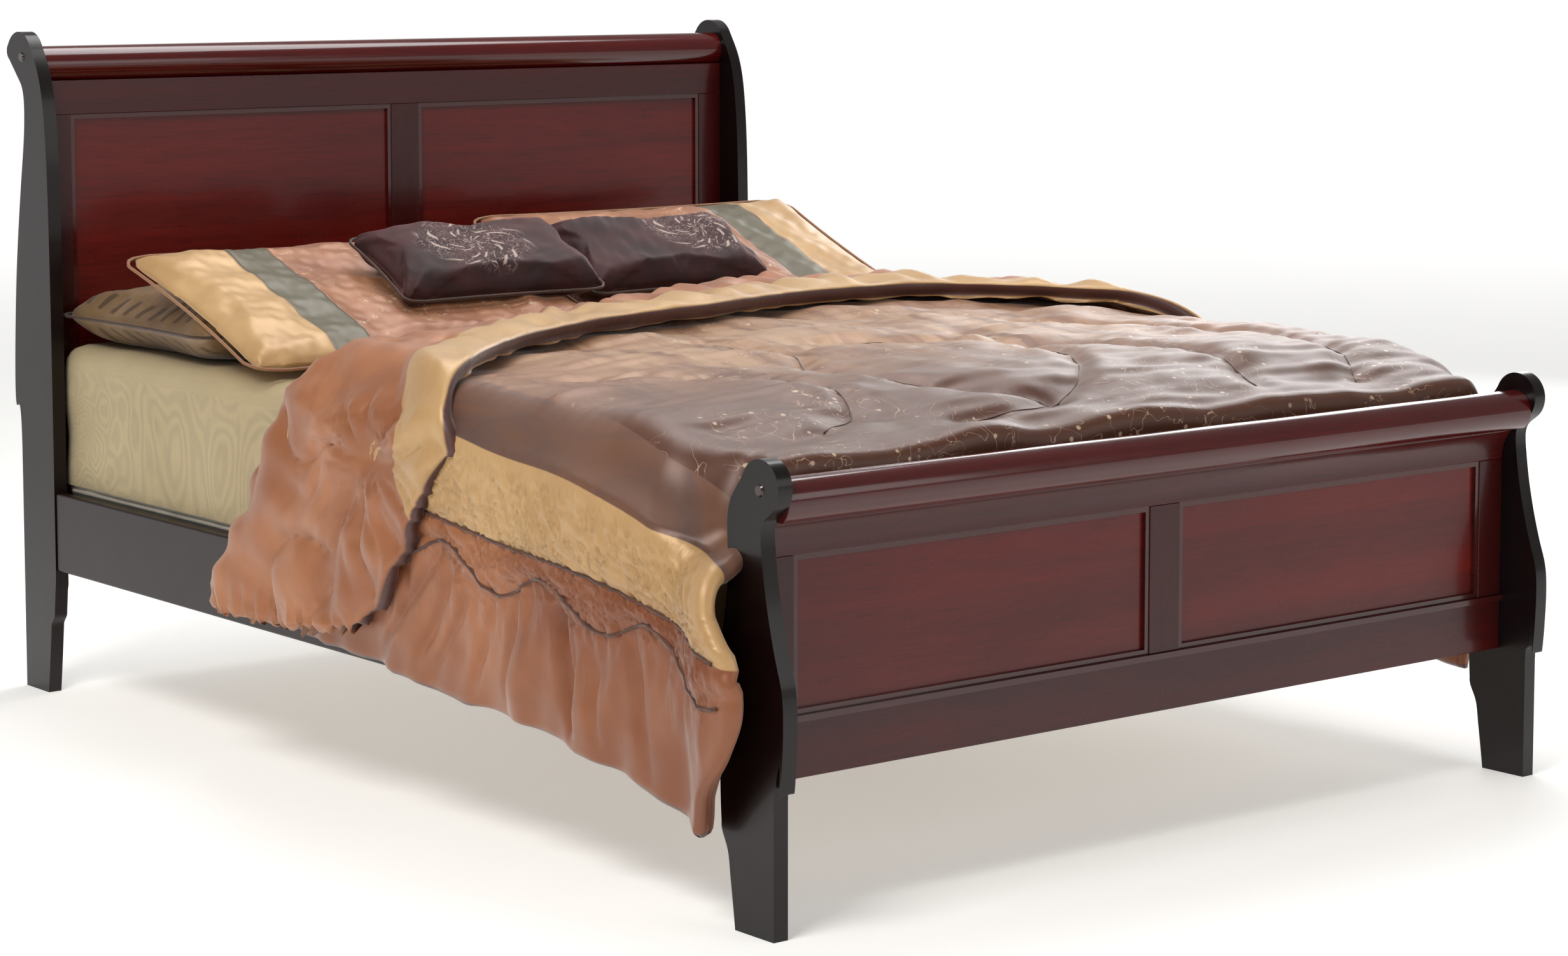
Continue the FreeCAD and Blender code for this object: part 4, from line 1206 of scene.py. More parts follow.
class Net:
    """A net of points, rows by columns, that becomes a closed padded shell."""

    def __init__(self, points: Array, cloth: Array) -> None:
        """Keep the net.

        Args:
            points: its points, rows by columns by 3.
            cloth: its cloth coordinates, rows by columns by 2.
        """
        self.points, self.cloth = points, cloth

    def normals(self) -> Array:
        """The outward direction at each point."""
        along = np.gradient(self.points, axis=0)
        across = np.gradient(self.points, axis=1)
        normal = np.cross(across, along)
        length = np.linalg.norm(normal, axis=2, keepdims=True)
        return normal / np.maximum(length, 1e-12)

    def edge_distance(self) -> Array:
        """The distance to the nearest edge of the net, in metres."""
        steps_u = np.linalg.norm(np.diff(self.points, axis=0), axis=2)
        steps_v = np.linalg.norm(np.diff(self.points, axis=1), axis=2)
        u = np.concatenate([np.zeros((1, steps_u.shape[1])), np.cumsum(steps_u, axis=0)])
        v = np.concatenate([np.zeros((steps_v.shape[0], 1)), np.cumsum(steps_v, axis=1)], axis=1)
        return np.minimum(np.minimum(u, u[-1:] - u), np.minimum(v, v[:, -1:] - v))

    def push(self, amount: Array) -> "Net":
        """Move the points outward by an amount each."""
        return Net(self.points + self.normals() * amount[..., None], self.cloth)

    def shell(self, name: str, thickness: float, edge: float, material: bpy.types.Material) -> bpy.types.Object:
        """Close the net into a shell with a rounded edge.

        Args:
            name: the object's name.
            thickness: how thick the padding is, in metres.
            edge: how far in the edge is rounded, in metres.
            material: its finish.

        Returns:
            The new object.
        """
        full = np.sqrt(1.0 - (1.0 - np.clip(self.edge_distance() / edge, 0.03, 1.0)) ** 2)[..., None]
        normal = self.normals()
        outer = self.points - normal * thickness / 2 * (1 - full)
        inner = self.points - normal * thickness / 2 * (1 + full)
        rows, columns = outer.shape[:2]
        count = rows * columns
        number = np.arange(count).reshape(rows, columns)
        front = np.stack([number[:-1, :-1], number[:-1, 1:], number[1:, 1:], number[1:, :-1]], axis=-1).reshape(-1, 4)
        back = front[:, ::-1] + count
        ring = np.concatenate([number[0, :], number[1:, -1], number[-1, -2::-1], number[-2:0:-1, 0]])
        onward = np.roll(ring, -1)
        rim = np.stack([onward, ring, ring + count, onward + count], axis=-1)
        points = np.concatenate([outer.reshape(-1, 3), inner.reshape(-1, 3)])
        cloth = np.concatenate([self.cloth.reshape(-1, 2)] * 2)
        faces = np.concatenate([front, back, rim])
        return Workshop.mesh(name, points, faces, material, cloth)


# ------------------------------------------------------------------ comforter


@dataclass(frozen=True)
class BeddingForm:
    """The rounded block that the comforter drapes over, seen from the foot."""

    half: float = 0.828
    top: float = 0.690
    corner: float = 0.088
    crown: float = 0.016

    @property
    def flat(self) -> float:
        """Half the width of the flat top."""
        return self.half - self.corner

    @property
    def arc(self) -> float:
        """The length of cloth round one top corner."""
        return self.corner * math.pi / 2

    @property
    def brow(self) -> float:
        """The height where the side starts to hang."""
        return self.top - self.corner

    def place(self, reach: Array, lift: Array | float = 0.0) -> tuple[Array, Array]:
        """X and Z at a signed distance along the cloth from the middle.

        Args:
            reach: the distance, negative to the left.
            lift: how far above the form the cloth lies, in metres.

        Returns:
            X and Z, in metres.
        """
        side, far = np.sign(reach), np.abs(reach)
        turn = np.clip((far - self.flat) / self.corner, 0.0, math.pi / 2)
        radius = self.corner + lift
        x = np.minimum(far, self.flat) + radius * np.sin(turn)
        z = self.top - self.corner + radius * np.cos(turn) - np.maximum(far - self.flat - self.arc, 0.0)
        bulge = self.crown * np.clip(1.0 - (far / (self.flat + self.corner)) ** 2, 0.0, 1.0)
        return side * x, z + bulge


FORM = BeddingForm()
FOLD_LINE = (
    (-0.831, 0.012),
    (-0.44, 0.020),
    (-0.05, 0.215),
    (0.20, 0.330),
    (0.32, 0.362),
    (0.49, 0.335),
    (0.665, 0.214),
    (0.831, 0.060),
)
TURNED_EDGE = (
    (-0.831, -0.390),
    (-0.59, -0.190),
    (-0.35, -0.075),
    (-0.10, -0.020),
    (0.314, 0.085),
    (0.58, 0.050),
    (0.70, -0.110),
    (0.831, -0.330),
)
HEAD_CORNER = ((0.288, 0.268), (0.220, 0.372), (0.141, 0.506), (0.072, 0.602))


@dataclass
class Comforter:
    """The comforter's main spread, with both drops and the part tucked behind the footboard."""

    material: bpy.types.Material
    trim: bpy.types.Material
    layout: CoverLayout
    thickness: float = 0.030
    foot: float = -1.006
    tuck: float = 0.16
    foot_sink: float = 0.048
    fineness: float = 0.0055
    creases: tuple[tuple[float, float, float, float], ...] = (
        (-0.345, 0.012, 0.012, 0.75),
        (-0.395, 0.009, 0.009, 0.55),
        (-0.450, 0.010, 0.010, 0.62),
        (-0.505, 0.012, 0.011, 0.40),
        (-0.560, 0.009, 0.009, 0.25),
        (-0.655, 0.020, 0.013, -0.12),
        (-0.700, 0.009, 0.009, 0.10),
        (-0.745, 0.012, 0.011, -0.02),
        (-0.835, 0.009, 0.012, -0.10),
    )

    def build(self) -> list[bpy.types.Object]:
        """Build the spread and its piping.

        Returns:
            The pieces.
        """
        net = self._net()
        spread = net.shell("comforter.spread", self.thickness, 0.018, self.material)
        Fixing("comforter", ("comforter",), "comforter_satin").fasten(spread)
        trims = [self._seam_cord(net, "comforter.piping", 0.0), self._seam_cord(net, "comforter.wavy_seam", 1.0)]
        trims += self._stitched_curves(net)
        for cord in trims:
            Fixing("comforter", (), "comforter_satin").fasten(cord)
        return [spread, *trims]

    def _side(self, rows: Array, columns: Array, near: bool) -> Array:
        """The Y and Z of one drop, from its hem up to the brow.

        Args:
            rows: shares from foot to head.
            columns: shares from hem to brow.
            near: whether it is the left drop, whose foot corner hangs over the post.

        Returns:
            Points, rows by columns.
        """
        along_hem = [(-0.84, 0.165), (-0.64, 0.200), (-0.40, 0.214), (-0.14, 0.240), (0.12, 0.252), (0.288, 0.268)]
        brow = Route([(self.foot - 0.004, FORM.brow), (-0.6, FORM.brow), (-0.2, FORM.brow), (0.072, FORM.brow)])
        if near:
            up_foot = [
                (-0.972, 0.128),
                (-1.016, 0.195),
                (-1.072, 0.262),
                (-1.100, 0.326),
                (-1.092, 0.378),
                (-1.066, 0.43),
                (-1.036, 0.495),
            ]
        else:
            up_foot = [(-0.925, 0.150), (-0.945, 0.260), (-0.955, 0.380), (-0.970, 0.50)]
        foot = Route([*up_foot, (self.foot - 0.004, FORM.brow)])
        hem = Route([up_foot[0], *along_hem])
        return patch(hem, brow, foot, Route(HEAD_CORNER), rows, columns)

    def _net(self) -> Net:
        """The whole spread as one net: left drop, top, right drop."""
        rows = np.linspace(0.0, 1.0, int(1.30 / self.fineness))
        drop = np.linspace(0.0, 1.0, int(0.40 / self.fineness))
        left = self._side(rows, drop, True)
        right = self._side(rows, drop[::-1], False)
        for side in (left, right):
            side[..., 1] -= self.foot_sink * ease(-side[..., 0], 0.76, 1.01) * ease(side[..., 1], 0.38, FORM.brow)
        step = np.concatenate([np.arange(0.0, FORM.arc, 0.010), FORM.arc + np.arange(0.0, FORM.flat, 0.013)])
        over = np.concatenate([-(FORM.flat + FORM.arc) + step[1:], [0.0], (FORM.flat + FORM.arc) - step[:0:-1]])
        x, z = FORM.place(over)
        head = through(FOLD_LINE, x) + 0.058 * ease(np.abs(over), FORM.flat + FORM.arc * 0.35, FORM.flat + FORM.arc)
        y = self.foot + (head[None] - self.foot) * rows[:, None]
        sunk = self.foot_sink * ease(-y, 0.76, 1.01)
        top = np.stack([np.broadcast_to(x, y.shape), y, z - sunk], axis=-1)
        wall = np.full(left.shape[:2] + (1,), FORM.half)
        near, far = np.concatenate([-wall, left], axis=2), np.concatenate([wall, right], axis=2)
        points = np.concatenate([near, top, far], axis=1)
        drawn = 0.066 * ease(-points[..., 1], 0.88, 0.985) * ease(points[..., 2], 0.46, 0.56)
        points[..., 0] -= np.sign(points[..., 0]) * drawn * ease(np.abs(points[..., 0]), 0.66, FORM.half)
        steps = np.linalg.norm(np.diff(points, axis=1), axis=2)
        run = np.concatenate([np.zeros((len(rows), 1)), np.cumsum(steps, axis=1)], axis=1)
        rise = np.minimum(run, run[:, -1:] - run)
        cloth = np.stack([rise, points[..., 1]], axis=-1)
        base = Net(points, cloth)
        shaped = base.push(self._relief(base))
        return self._tucked(shaped)

    def _wave(self, along: Array) -> Array:
        """The wavy seam's distance from the hem."""
        turn = (along - self.layout.wave_start) * math.tau / self.layout.wave_pitch
        return self.layout.wave_mean + self.layout.wave_height * np.cos(turn)

    def _relief(self, base: Net) -> Array:
        """How far the padding stands out at each point."""
        x, y, z = np.moveaxis(base.points, 2, 0)
        rise = base.cloth[..., 0]
        on_top = ease(np.abs(x), FORM.half - 0.005, FORM.flat)
        wave = self._wave(y)
        slack = ease(wave - rise, 0.0, 0.17)
        lean = y + 0.30 * (rise - 0.25)
        hang = slack * (0.010 * Ripple(3, 0.30).at(lean, rise * 0.4) + 0.006 * Ripple(5, 0.12).at(lean, rise * 0.3))
        short = ease(wave - rise, 0.0, 0.015) * ease(rise - wave, -0.16, -0.03)
        hang += short * 0.006 * Ripple(6, 0.045).at(lean, rise * 0.25)
        for place, deep, wide, slant in self.creases:
            line = place + slant * (self.layout.wave_mean - rise)
            reach = ease(wave - rise, -0.01, 0.05) * ease(rise, 0.0, 0.10)
            hang -= deep * np.exp(-(((y - line) / wide) ** 2)) * reach
        gather_size = 1.0 + 0.25 * Ripple(8, 0.2).at(y, rise)
        gathered = ease(rise - wave, -0.06, 0.012) * ease(0.44 - rise, 0.0, 0.05)
        gathers = 0.0026 * np.sin(y * math.tau / 0.019 * gather_size) * gathered
        piping = self.layout.piping
        puff = 0.007 * arch((rise - wave) / (piping - wave)) + 0.012 * arch((rise - piping) / 0.135)
        swell = 0.012 * ease(rise, 0.0, 0.09) * (1 - on_top)
        broad, small = Ripple(11, 0.22).at(x * 0.8, y * 1.2), Ripple(12, 0.08).at(x * 0.5, y * 1.6)
        field = on_top * (0.0050 * broad + 0.0022 * small)
        for seam in self._stitch_routes():
            near = np.full(x.shape, 1.0)
            for px, py in seam.at(np.linspace(0, 1, 60)):
                near = np.minimum(near, np.hypot(x - px, y - py))
            field -= on_top * 0.010 * np.exp(-((near / 0.022) ** 2))
        past_post = (1 - on_top) * (x < 0) * ease(0.57 - z, 0.0, 0.12)
        foot_flare = 0.032 * ease(-y, 0.93, 1.05) * past_post
        calm = ease(np.arange(len(x)) * self.fineness, 0.0, 0.055)[:, None]
        return (hang + gathers) * calm + puff + swell + field + foot_flare + 0.004 * Ripple(21, 0.3).at(y, rise)

    @staticmethod
    def _stitch_routes() -> list[Route]:
        """The long stitched curves of the field, in plan."""
        return [
            Route([(0.22, -0.34), (0.19, -0.50), (0.14, -0.68), (0.02, -0.83), (-0.14, -0.92), (-0.32, -0.95)]),
            Route([(-0.05, -0.30), (0.12, -0.42), (0.30, -0.62), (0.36, -0.80), (0.30, -0.94)]),
            Route([(-0.62, -0.40), (-0.50, -0.52), (-0.42, -0.70), (-0.46, -0.86), (-0.56, -0.92)]),
            Route([(0.44, -0.20), (0.56, -0.38), (0.66, -0.60), (0.64, -0.80), (0.54, -0.93)]),
            Route([(-0.22, -0.18), (-0.20, -0.38), (-0.30, -0.60), (-0.24, -0.80), (-0.10, -0.90)]),
        ]

    def _tucked(self, net: Net) -> Net:
        """Add the rows that go down behind the footboard."""
        first = net.points[0]
        within = 1.0 - ease(FORM.brow - first[:, 2], 0.0, 0.05)
        depth = np.linspace(0.0, 1.0, 12)[1:, None]
        turn = np.clip(depth * 4.0, 0.0, 1.0) * math.pi / 2
        out = (0.022 * np.sin(turn) - 0.012 * ease(depth, 0.25, 0.6)) * within**2
        down = (0.022 * (1 - np.cos(turn)) + self.tuck * np.clip(depth - 0.25, 0, 1) / 0.75) * within
        rows = np.repeat(first[None], len(depth), axis=0)
        rows[..., 1] += -out - 0.012 * depth * (1 - within)
        rows[..., 2] -= down
        drawn = 0.035 * ease(depth, 0.0, 0.4) * ease(np.abs(rows[..., 0]), 0.68, 0.79) * within
        rows[..., 0] -= np.sign(rows[..., 0]) * drawn
        cloth = np.repeat(net.cloth[:1], len(depth), axis=0)
        cloth[..., 1] -= down
        return Net(np.concatenate([rows[::-1], net.points]), np.concatenate([cloth[::-1], net.cloth]))

    def _seam_cord(self, net: Net, name: str, waviness: float) -> bpy.types.Object:
        """A covered cord along the straight piping (0) or the wavy seam (1) of the left drop."""
        path = []
        rise, along = net.cloth[..., 0], net.cloth[..., 1]
        middle = net.points.shape[1] // 2
        for row in range(14, net.points.shape[0] - 4, 2):
            wanted = self.layout.piping + waviness * (self._wave(along[row, 20]) - self.layout.piping)
            column = int(np.searchsorted(rise[row, :middle], wanted))
            below, above = rise[row, column - 1], rise[row, column]
            share = (wanted - below) / max(above - below, 1e-9)
            path.append(net.points[row, column - 1] * (1 - share) + net.points[row, column] * share)
        path = np.array(path)
        path[:, 0] -= 0.001
        return Workshop.tube(name, path, 0.0026, self.trim)

    def _stitched_curves(self, net: Net) -> list[bpy.types.Object]:
        """Stitched cords along the field's curves."""
        x, y, z = np.moveaxis(net.points, 2, 0)
        pieces = []
        for number, seam in enumerate(self._stitch_routes(), 1):
            path = []
            for px, py in seam.at(np.linspace(0, 1, 90)):
                near = np.argmin((x - px) ** 2 + (y - py) ** 2 + 10.0 * (z < FORM.brow))
                path.append((px, py, z.ravel()[near] + 0.0004))
            path = np.array(path)
            kernel = np.ones(5) / 5
            path[2:-2, 2] = np.convolve(path[:, 2], kernel, "valid")
            pieces.append(Workshop.tube(f"comforter.stitching_{number}", path, 0.0013, self.trim, 6))
        return pieces


@dataclass
class Turnback:
    """The head end of the comforter, turned back over it and hanging down at the left."""

    material: bpy.types.Material
    lift: float = 0.034
    thickness: float = 0.030
    fineness: float = 0.007
    pinch: tuple[float, float] = (-0.185, 0.565)

    def build(self) -> bpy.types.Object:
        """Build the turned-back part.

        Returns:
            The piece.
        """
        piece = self._net().shell("comforter.turnback", self.thickness, 0.016, self.material)
        Fixing("comforter", ("comforter",), "comforter_satin").fasten(piece)
        return piece

    def _net(self) -> Net:
        """Left drop, top and right drop, rolled under along the fold."""
        rows = np.linspace(0.0, 1.0, int(0.42 / self.fineness))
        drop = np.linspace(0.0, 1.0, int(0.33 / self.fineness))
        wall = FORM.half + self.lift
        left = patch(
            Route([(-0.142, 0.300), (-0.03, 0.284), (0.124, 0.270), (0.293, 0.275)]),
            Route([(-0.405, FORM.brow), (-0.25, FORM.brow), (-0.05, FORM.brow), (0.072, FORM.brow)]),
            Route([(-0.142, 0.300), (-0.197, 0.335), (-0.290, 0.440), (-0.325, 0.502), (-0.405, FORM.brow)]),
            Route(HEAD_CORNER),
            rows,
            drop,
        )
        right_hem = Route([(-0.26, 0.44), (-0.12, 0.43), (0.02, 0.42), (0.14, 0.43)])
        right = patch(
            right_hem,
            Route([(-0.345, FORM.brow), (-0.2, FORM.brow), (-0.05, FORM.brow), (0.118, FORM.brow)]),
            Route([(-0.26, 0.44), (-0.31, 0.50), (-0.345, FORM.brow)]),
            Route([(0.14, 0.43), (0.135, 0.50), (0.118, FORM.brow)]),
            rows,
            drop[::-1],
        )
        step = np.concatenate([np.arange(0.0, FORM.arc, 0.009), FORM.arc + np.arange(0.0, FORM.flat, 0.011)])
        over = np.concatenate([-(FORM.flat + FORM.arc) + step[1:], [0.0], (FORM.flat + FORM.arc) - step[:0:-1]])
        x, z = FORM.place(over, self.lift)
        plan, _ = FORM.place(over)
        side = ease(np.abs(over), FORM.flat + FORM.arc * 0.35, FORM.flat + FORM.arc)
        head = through(FOLD_LINE, plan) + 0.058 * side
        edge = through(TURNED_EDGE, plan) - 0.014 * side
        y = edge[None] + (head - edge)[None] * rows[:, None]
        top = np.stack([np.broadcast_to(x, y.shape), y, np.broadcast_to(z, y.shape)], axis=-1)
        size = left.shape[:2] + (1,)
        near = np.concatenate([np.full(size, -wall), left], axis=2)
        far = np.concatenate([np.full(size, wall), right], axis=2)
        points = np.concatenate([near, top, far], axis=1)
        points = self._rolled(points)
        steps = np.linalg.norm(np.diff(points, axis=0), axis=2)
        inward = np.concatenate([np.zeros((1, points.shape[1])), np.cumsum(steps, axis=0)])
        brow = FORM.flat + FORM.arc
        near_reach = np.linspace(-(brow + 0.33), over[0], len(drop))
        far_reach = np.linspace(over[-1], brow + 0.2, len(drop))
        reach = np.concatenate([near_reach, over, far_reach])
        cloth = np.stack([inward, np.broadcast_to(reach, inward.shape)], axis=-1)
        net = Net(points, cloth)
        return net.push(self._relief(net))

    def _rolled(self, points: Array) -> Array:
        """Add the rows that roll down along the fold, to meet the layer below."""
        base = Net(points, points[..., :2])
        normal = base.normals()[-1]
        ahead = points[-1] - points[-3]
        ahead /= np.linalg.norm(ahead, axis=1, keepdims=True)
        radius = 0.036
        turns = np.linspace(0.0, math.pi, 12)[1:, None, None]
        rows = points[-1][None] + radius * (np.sin(turns) * ahead[None] - (1 - np.cos(turns)) * normal[None])
        return np.concatenate([points, rows])

    def _relief(self, net: Net) -> Array:
        """Puff along the edge, soft dents on top and folds that run out of the pinch."""
        x, y, z = np.moveaxis(net.points, 2, 0)
        inward = net.cloth[..., 0]
        hanging = ease(-x, FORM.flat, FORM.half) * ease(FORM.top - z, 0.0, 0.06)
        from_pinch = np.hypot(y - self.pinch[0], z - self.pinch[1])
        angle = np.arctan2(z - self.pinch[1], y - self.pinch[0])
        rays = np.abs(np.sin(angle * 4.0 + 1.1 * Ripple(31, 0.25).at(y, z))) ** 0.55
        fine = np.abs(np.sin(angle * 11.0 + 1.6 * Ripple(32, 0.2).at(y, z))) ** 0.7
        drape = hanging * ease(from_pinch, 0.0, 0.12) * (0.018 * rays - 0.008)
        drape += hanging * ease(from_pinch, 0.0, 0.05) * ease(0.26 - from_pinch, 0.0, 0.12) * 0.006 * (fine - 0.5)
        hem_tuck = ease(0.05 - (z - 0.285), 0.0, 0.045) * hanging
        drape += hem_tuck * 0.004 * np.sin(y * math.tau / 0.034 + 2.0 * Ripple(36, 0.1).at(y, z))
        dimple = -0.012 * hanging * np.exp(-((from_pinch / 0.035) ** 2))
        roll = 0.010 * arch(inward / 0.15)
        across = np.sin(x * math.tau / 0.09 + 2.0 * Ripple(33, 0.3).at(x, y))
        ruck = 0.0035 * (1 - hanging) * across * ease(inward, 0.0, 0.05)
        soft = 0.006 * Ripple(35, 0.17).at(x + z, y) * ease(inward, 0.0, 0.04)
        return drape + dimple + roll * (1 - hanging) + ruck + soft


# ------------------------------------------------------------------ mattress, sheet and foundation


class RoundedBlock:
    """A block with rounded edges, made of a fine net that keeps its own relief."""

    def __init__(self, low: Sequence[float], high: Sequence[float], radius: float, pitch: float) -> None:
        """Lay out the block.

        Args:
            low: its lowest corner.
            high: its highest corner.
            radius: the radius of its edges.
            pitch: the size of its faces.
        """
        mesh = bmesh.new()
        low, high = Vector(low), Vector(high)
        size = high - low
        bmesh.ops.create_cube(mesh, size=1.0)
        bmesh.ops.scale(mesh, vec=size, verts=mesh.verts)
        bmesh.ops.translate(mesh, vec=(low + high) / 2, verts=mesh.verts)
        for axis in range(3):
            cuts = max(2, int(size[axis] / pitch))
            for cut in np.linspace(low[axis], high[axis], cuts + 1)[1:-1]:
                place, normal = Vector((0, 0, 0)), Vector((0, 0, 0))
                place[axis], normal[axis] = cut, 1.0
                whole = mesh.verts[:] + mesh.edges[:] + mesh.faces[:]
                bmesh.ops.bisect_plane(mesh, geom=whole, plane_co=place, plane_no=normal)
        mesh.verts.ensure_lookup_table()
        mesh.verts.index_update()
        points = np.array([v.co for v in mesh.verts])
        inner_low, inner_high = np.array(low) + radius, np.array(high) - radius
        core = np.clip(points, inner_low, inner_high)
        away = points - core
        length = np.linalg.norm(away, axis=1, keepdims=True)
        outside = length[:, 0] > 1e-9
        self.outward = np.zeros_like(points)
        self.outward[outside] = away[outside] / length[outside]
        stretch = np.max(np.abs(away), axis=1, keepdims=True)
        self.points = points.copy()
        self.points[outside] = (core + self.outward * stretch)[outside]
        self.faces = [[v.index for v in face.verts] for face in mesh.faces]
        self.low, self.high = np.array(low), np.array(high)
        mesh.free()


@dataclass
class MattressSet:
    """The mattress, the fitted sheet stretched over it and the foundation below."""

    ticking: bpy.types.Material
    linen: bpy.types.Material
    base_cloth: bpy.types.Material
    border: bpy.types.Material

    def build(self) -> None:
        """Build the three pieces."""
        self._foundation()
        self._mattress()
        self._fitted_sheet()

    def _foundation(self) -> None:
        """A low box covered with woven cloth, with rounded edges."""
        low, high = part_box("foundation")
        block = RoundedBlock(low, high, 0.010, 0.04)
        relief = 0.0008 * Ripple(51, 0.12).at(block.points[:, 0], block.points[:, 1])
        points = block.points - block.outward * (0.0012 + relief[:, None])
        box = Workshop.mesh("foundation.cover", points, block.faces, self.base_cloth)
        Fixing("foundation", ("foundation",), "foundation_cloth").fasten(box)

    def _mattress(self) -> None:
        """A tufted block with taped edges."""
        low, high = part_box("mattress")
        block = RoundedBlock(low, high, 0.036, 0.022)
        x, y, z = block.points.T
        tufts = np.cos(x * math.tau / 0.25) * np.cos(y * math.tau / 0.25)
        flat = (np.abs(block.outward[:, 2]) > 0.9) | (np.abs(block.outward).sum(axis=1) < 1e-9)
        sunk = 0.004 + 0.003 * (1 - tufts) * flat
        direction = np.where(block.outward.any(axis=1, keepdims=True), block.outward, (0.0, 0.0, 1.0))
        body = Workshop.mesh("mattress.body", block.points - direction * sunk[:, None], block.faces, self.ticking)
        Fixing("mattress", ("mattress",), "mattress_ticking").fasten(body)
        self._tape(low, high)

    def _tape(self, low: Vector, high: Vector) -> None:
        """The taped edges round the top and bottom borders."""
        radius, inset = 0.045, 0.006
        corners = np.linspace(0.0, math.pi / 2, 9)
        for name, height in (("upper", high[2] - 0.030), ("lower", low[2] + 0.030)):
            path = []
            for turn, (side_x, side_y) in enumerate(((1, 1), (-1, 1), (-1, -1), (1, -1))):
                centre = (
                    (high[0] - inset - radius) * side_x,
                    (low[1] + high[1]) / 2 + ((high[1] - low[1]) / 2 - inset - radius) * side_y,
                )
                for angle in corners + turn * math.pi / 2:
                    path.append((centre[0] + radius * math.cos(angle), centre[1] + radius * math.sin(angle), height))
            path.append(path[0])
            tape = Workshop.tube(f"mattress.tape_{name}", path, 0.005, self.border, 6)
            Fixing("mattress", (), "mattress_ticking").fasten(tape)

    def _fitted_sheet(self) -> None:
        """A stretched sheet with slack round its corners, open below."""
        low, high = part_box("fitted_sheet")
        deep = Vector((low[0], low[1], low[2] - 0.05))
        block = RoundedBlock(deep, high, 0.040, 0.020)
        x, y, z = block.points.T
        keep = z > low[2] - 0.001
        fall = ease(high[2] - z, 0.02, 0.12)
        near_corner = np.exp(-((np.abs(np.abs(y - 0.015) - 1.005) / 0.20) ** 2))
        slack = 0.0022 * np.sin(z * 46.0 + y * 21.0) * near_corner
        pull = (slack + 0.0016 * Ripple(61, 0.14).at(y, z * 0.4)) * fall
        top = 0.0012 * Ripple(62, 0.22).at(x, y) * (1 - fall)
        direction = np.where(block.outward.any(axis=1, keepdims=True), block.outward, (0.0, 0.0, 1.0))
        points = block.points + direction * (pull + top)[:, None]
        number = {old: new for new, old in enumerate(np.flatnonzero(keep))}
        faces = [[number[v] for v in face] for face in block.faces if all(v in number for v in face)]
        sheet = Workshop.mesh("fitted_sheet.cover", points[keep], faces, self.linen)
        Fixing("mattress", ("fitted_sheet",), "sheet_cloth").fasten(sheet)


# ------------------------------------------------------------------ pillows, shams and cushions


@dataclass(frozen=True)
class Case:
    """The size, the filling and the cloth slot of one kind of stuffed case."""

    width: float
    depth: float
    below: float
    above: float
    slot: str
    fill: float
    voxel: float = 0.008
    cap: float = 0.012
    pinch: float = 0.035
    pressure: float = 4.0
    frames: int = 20


PILLOW = Case(0.700, 0.536, 0.052, 0.050, "pillow_cloth", 0.55)
SHAM = Case(0.777, 0.490, 0.018, 0.026, "sham_satin", 0.5)
CUSHION = Case(0.430, 0.225, 0.026, 0.040, "cushion_velvet", 0.75, voxel=0.006)


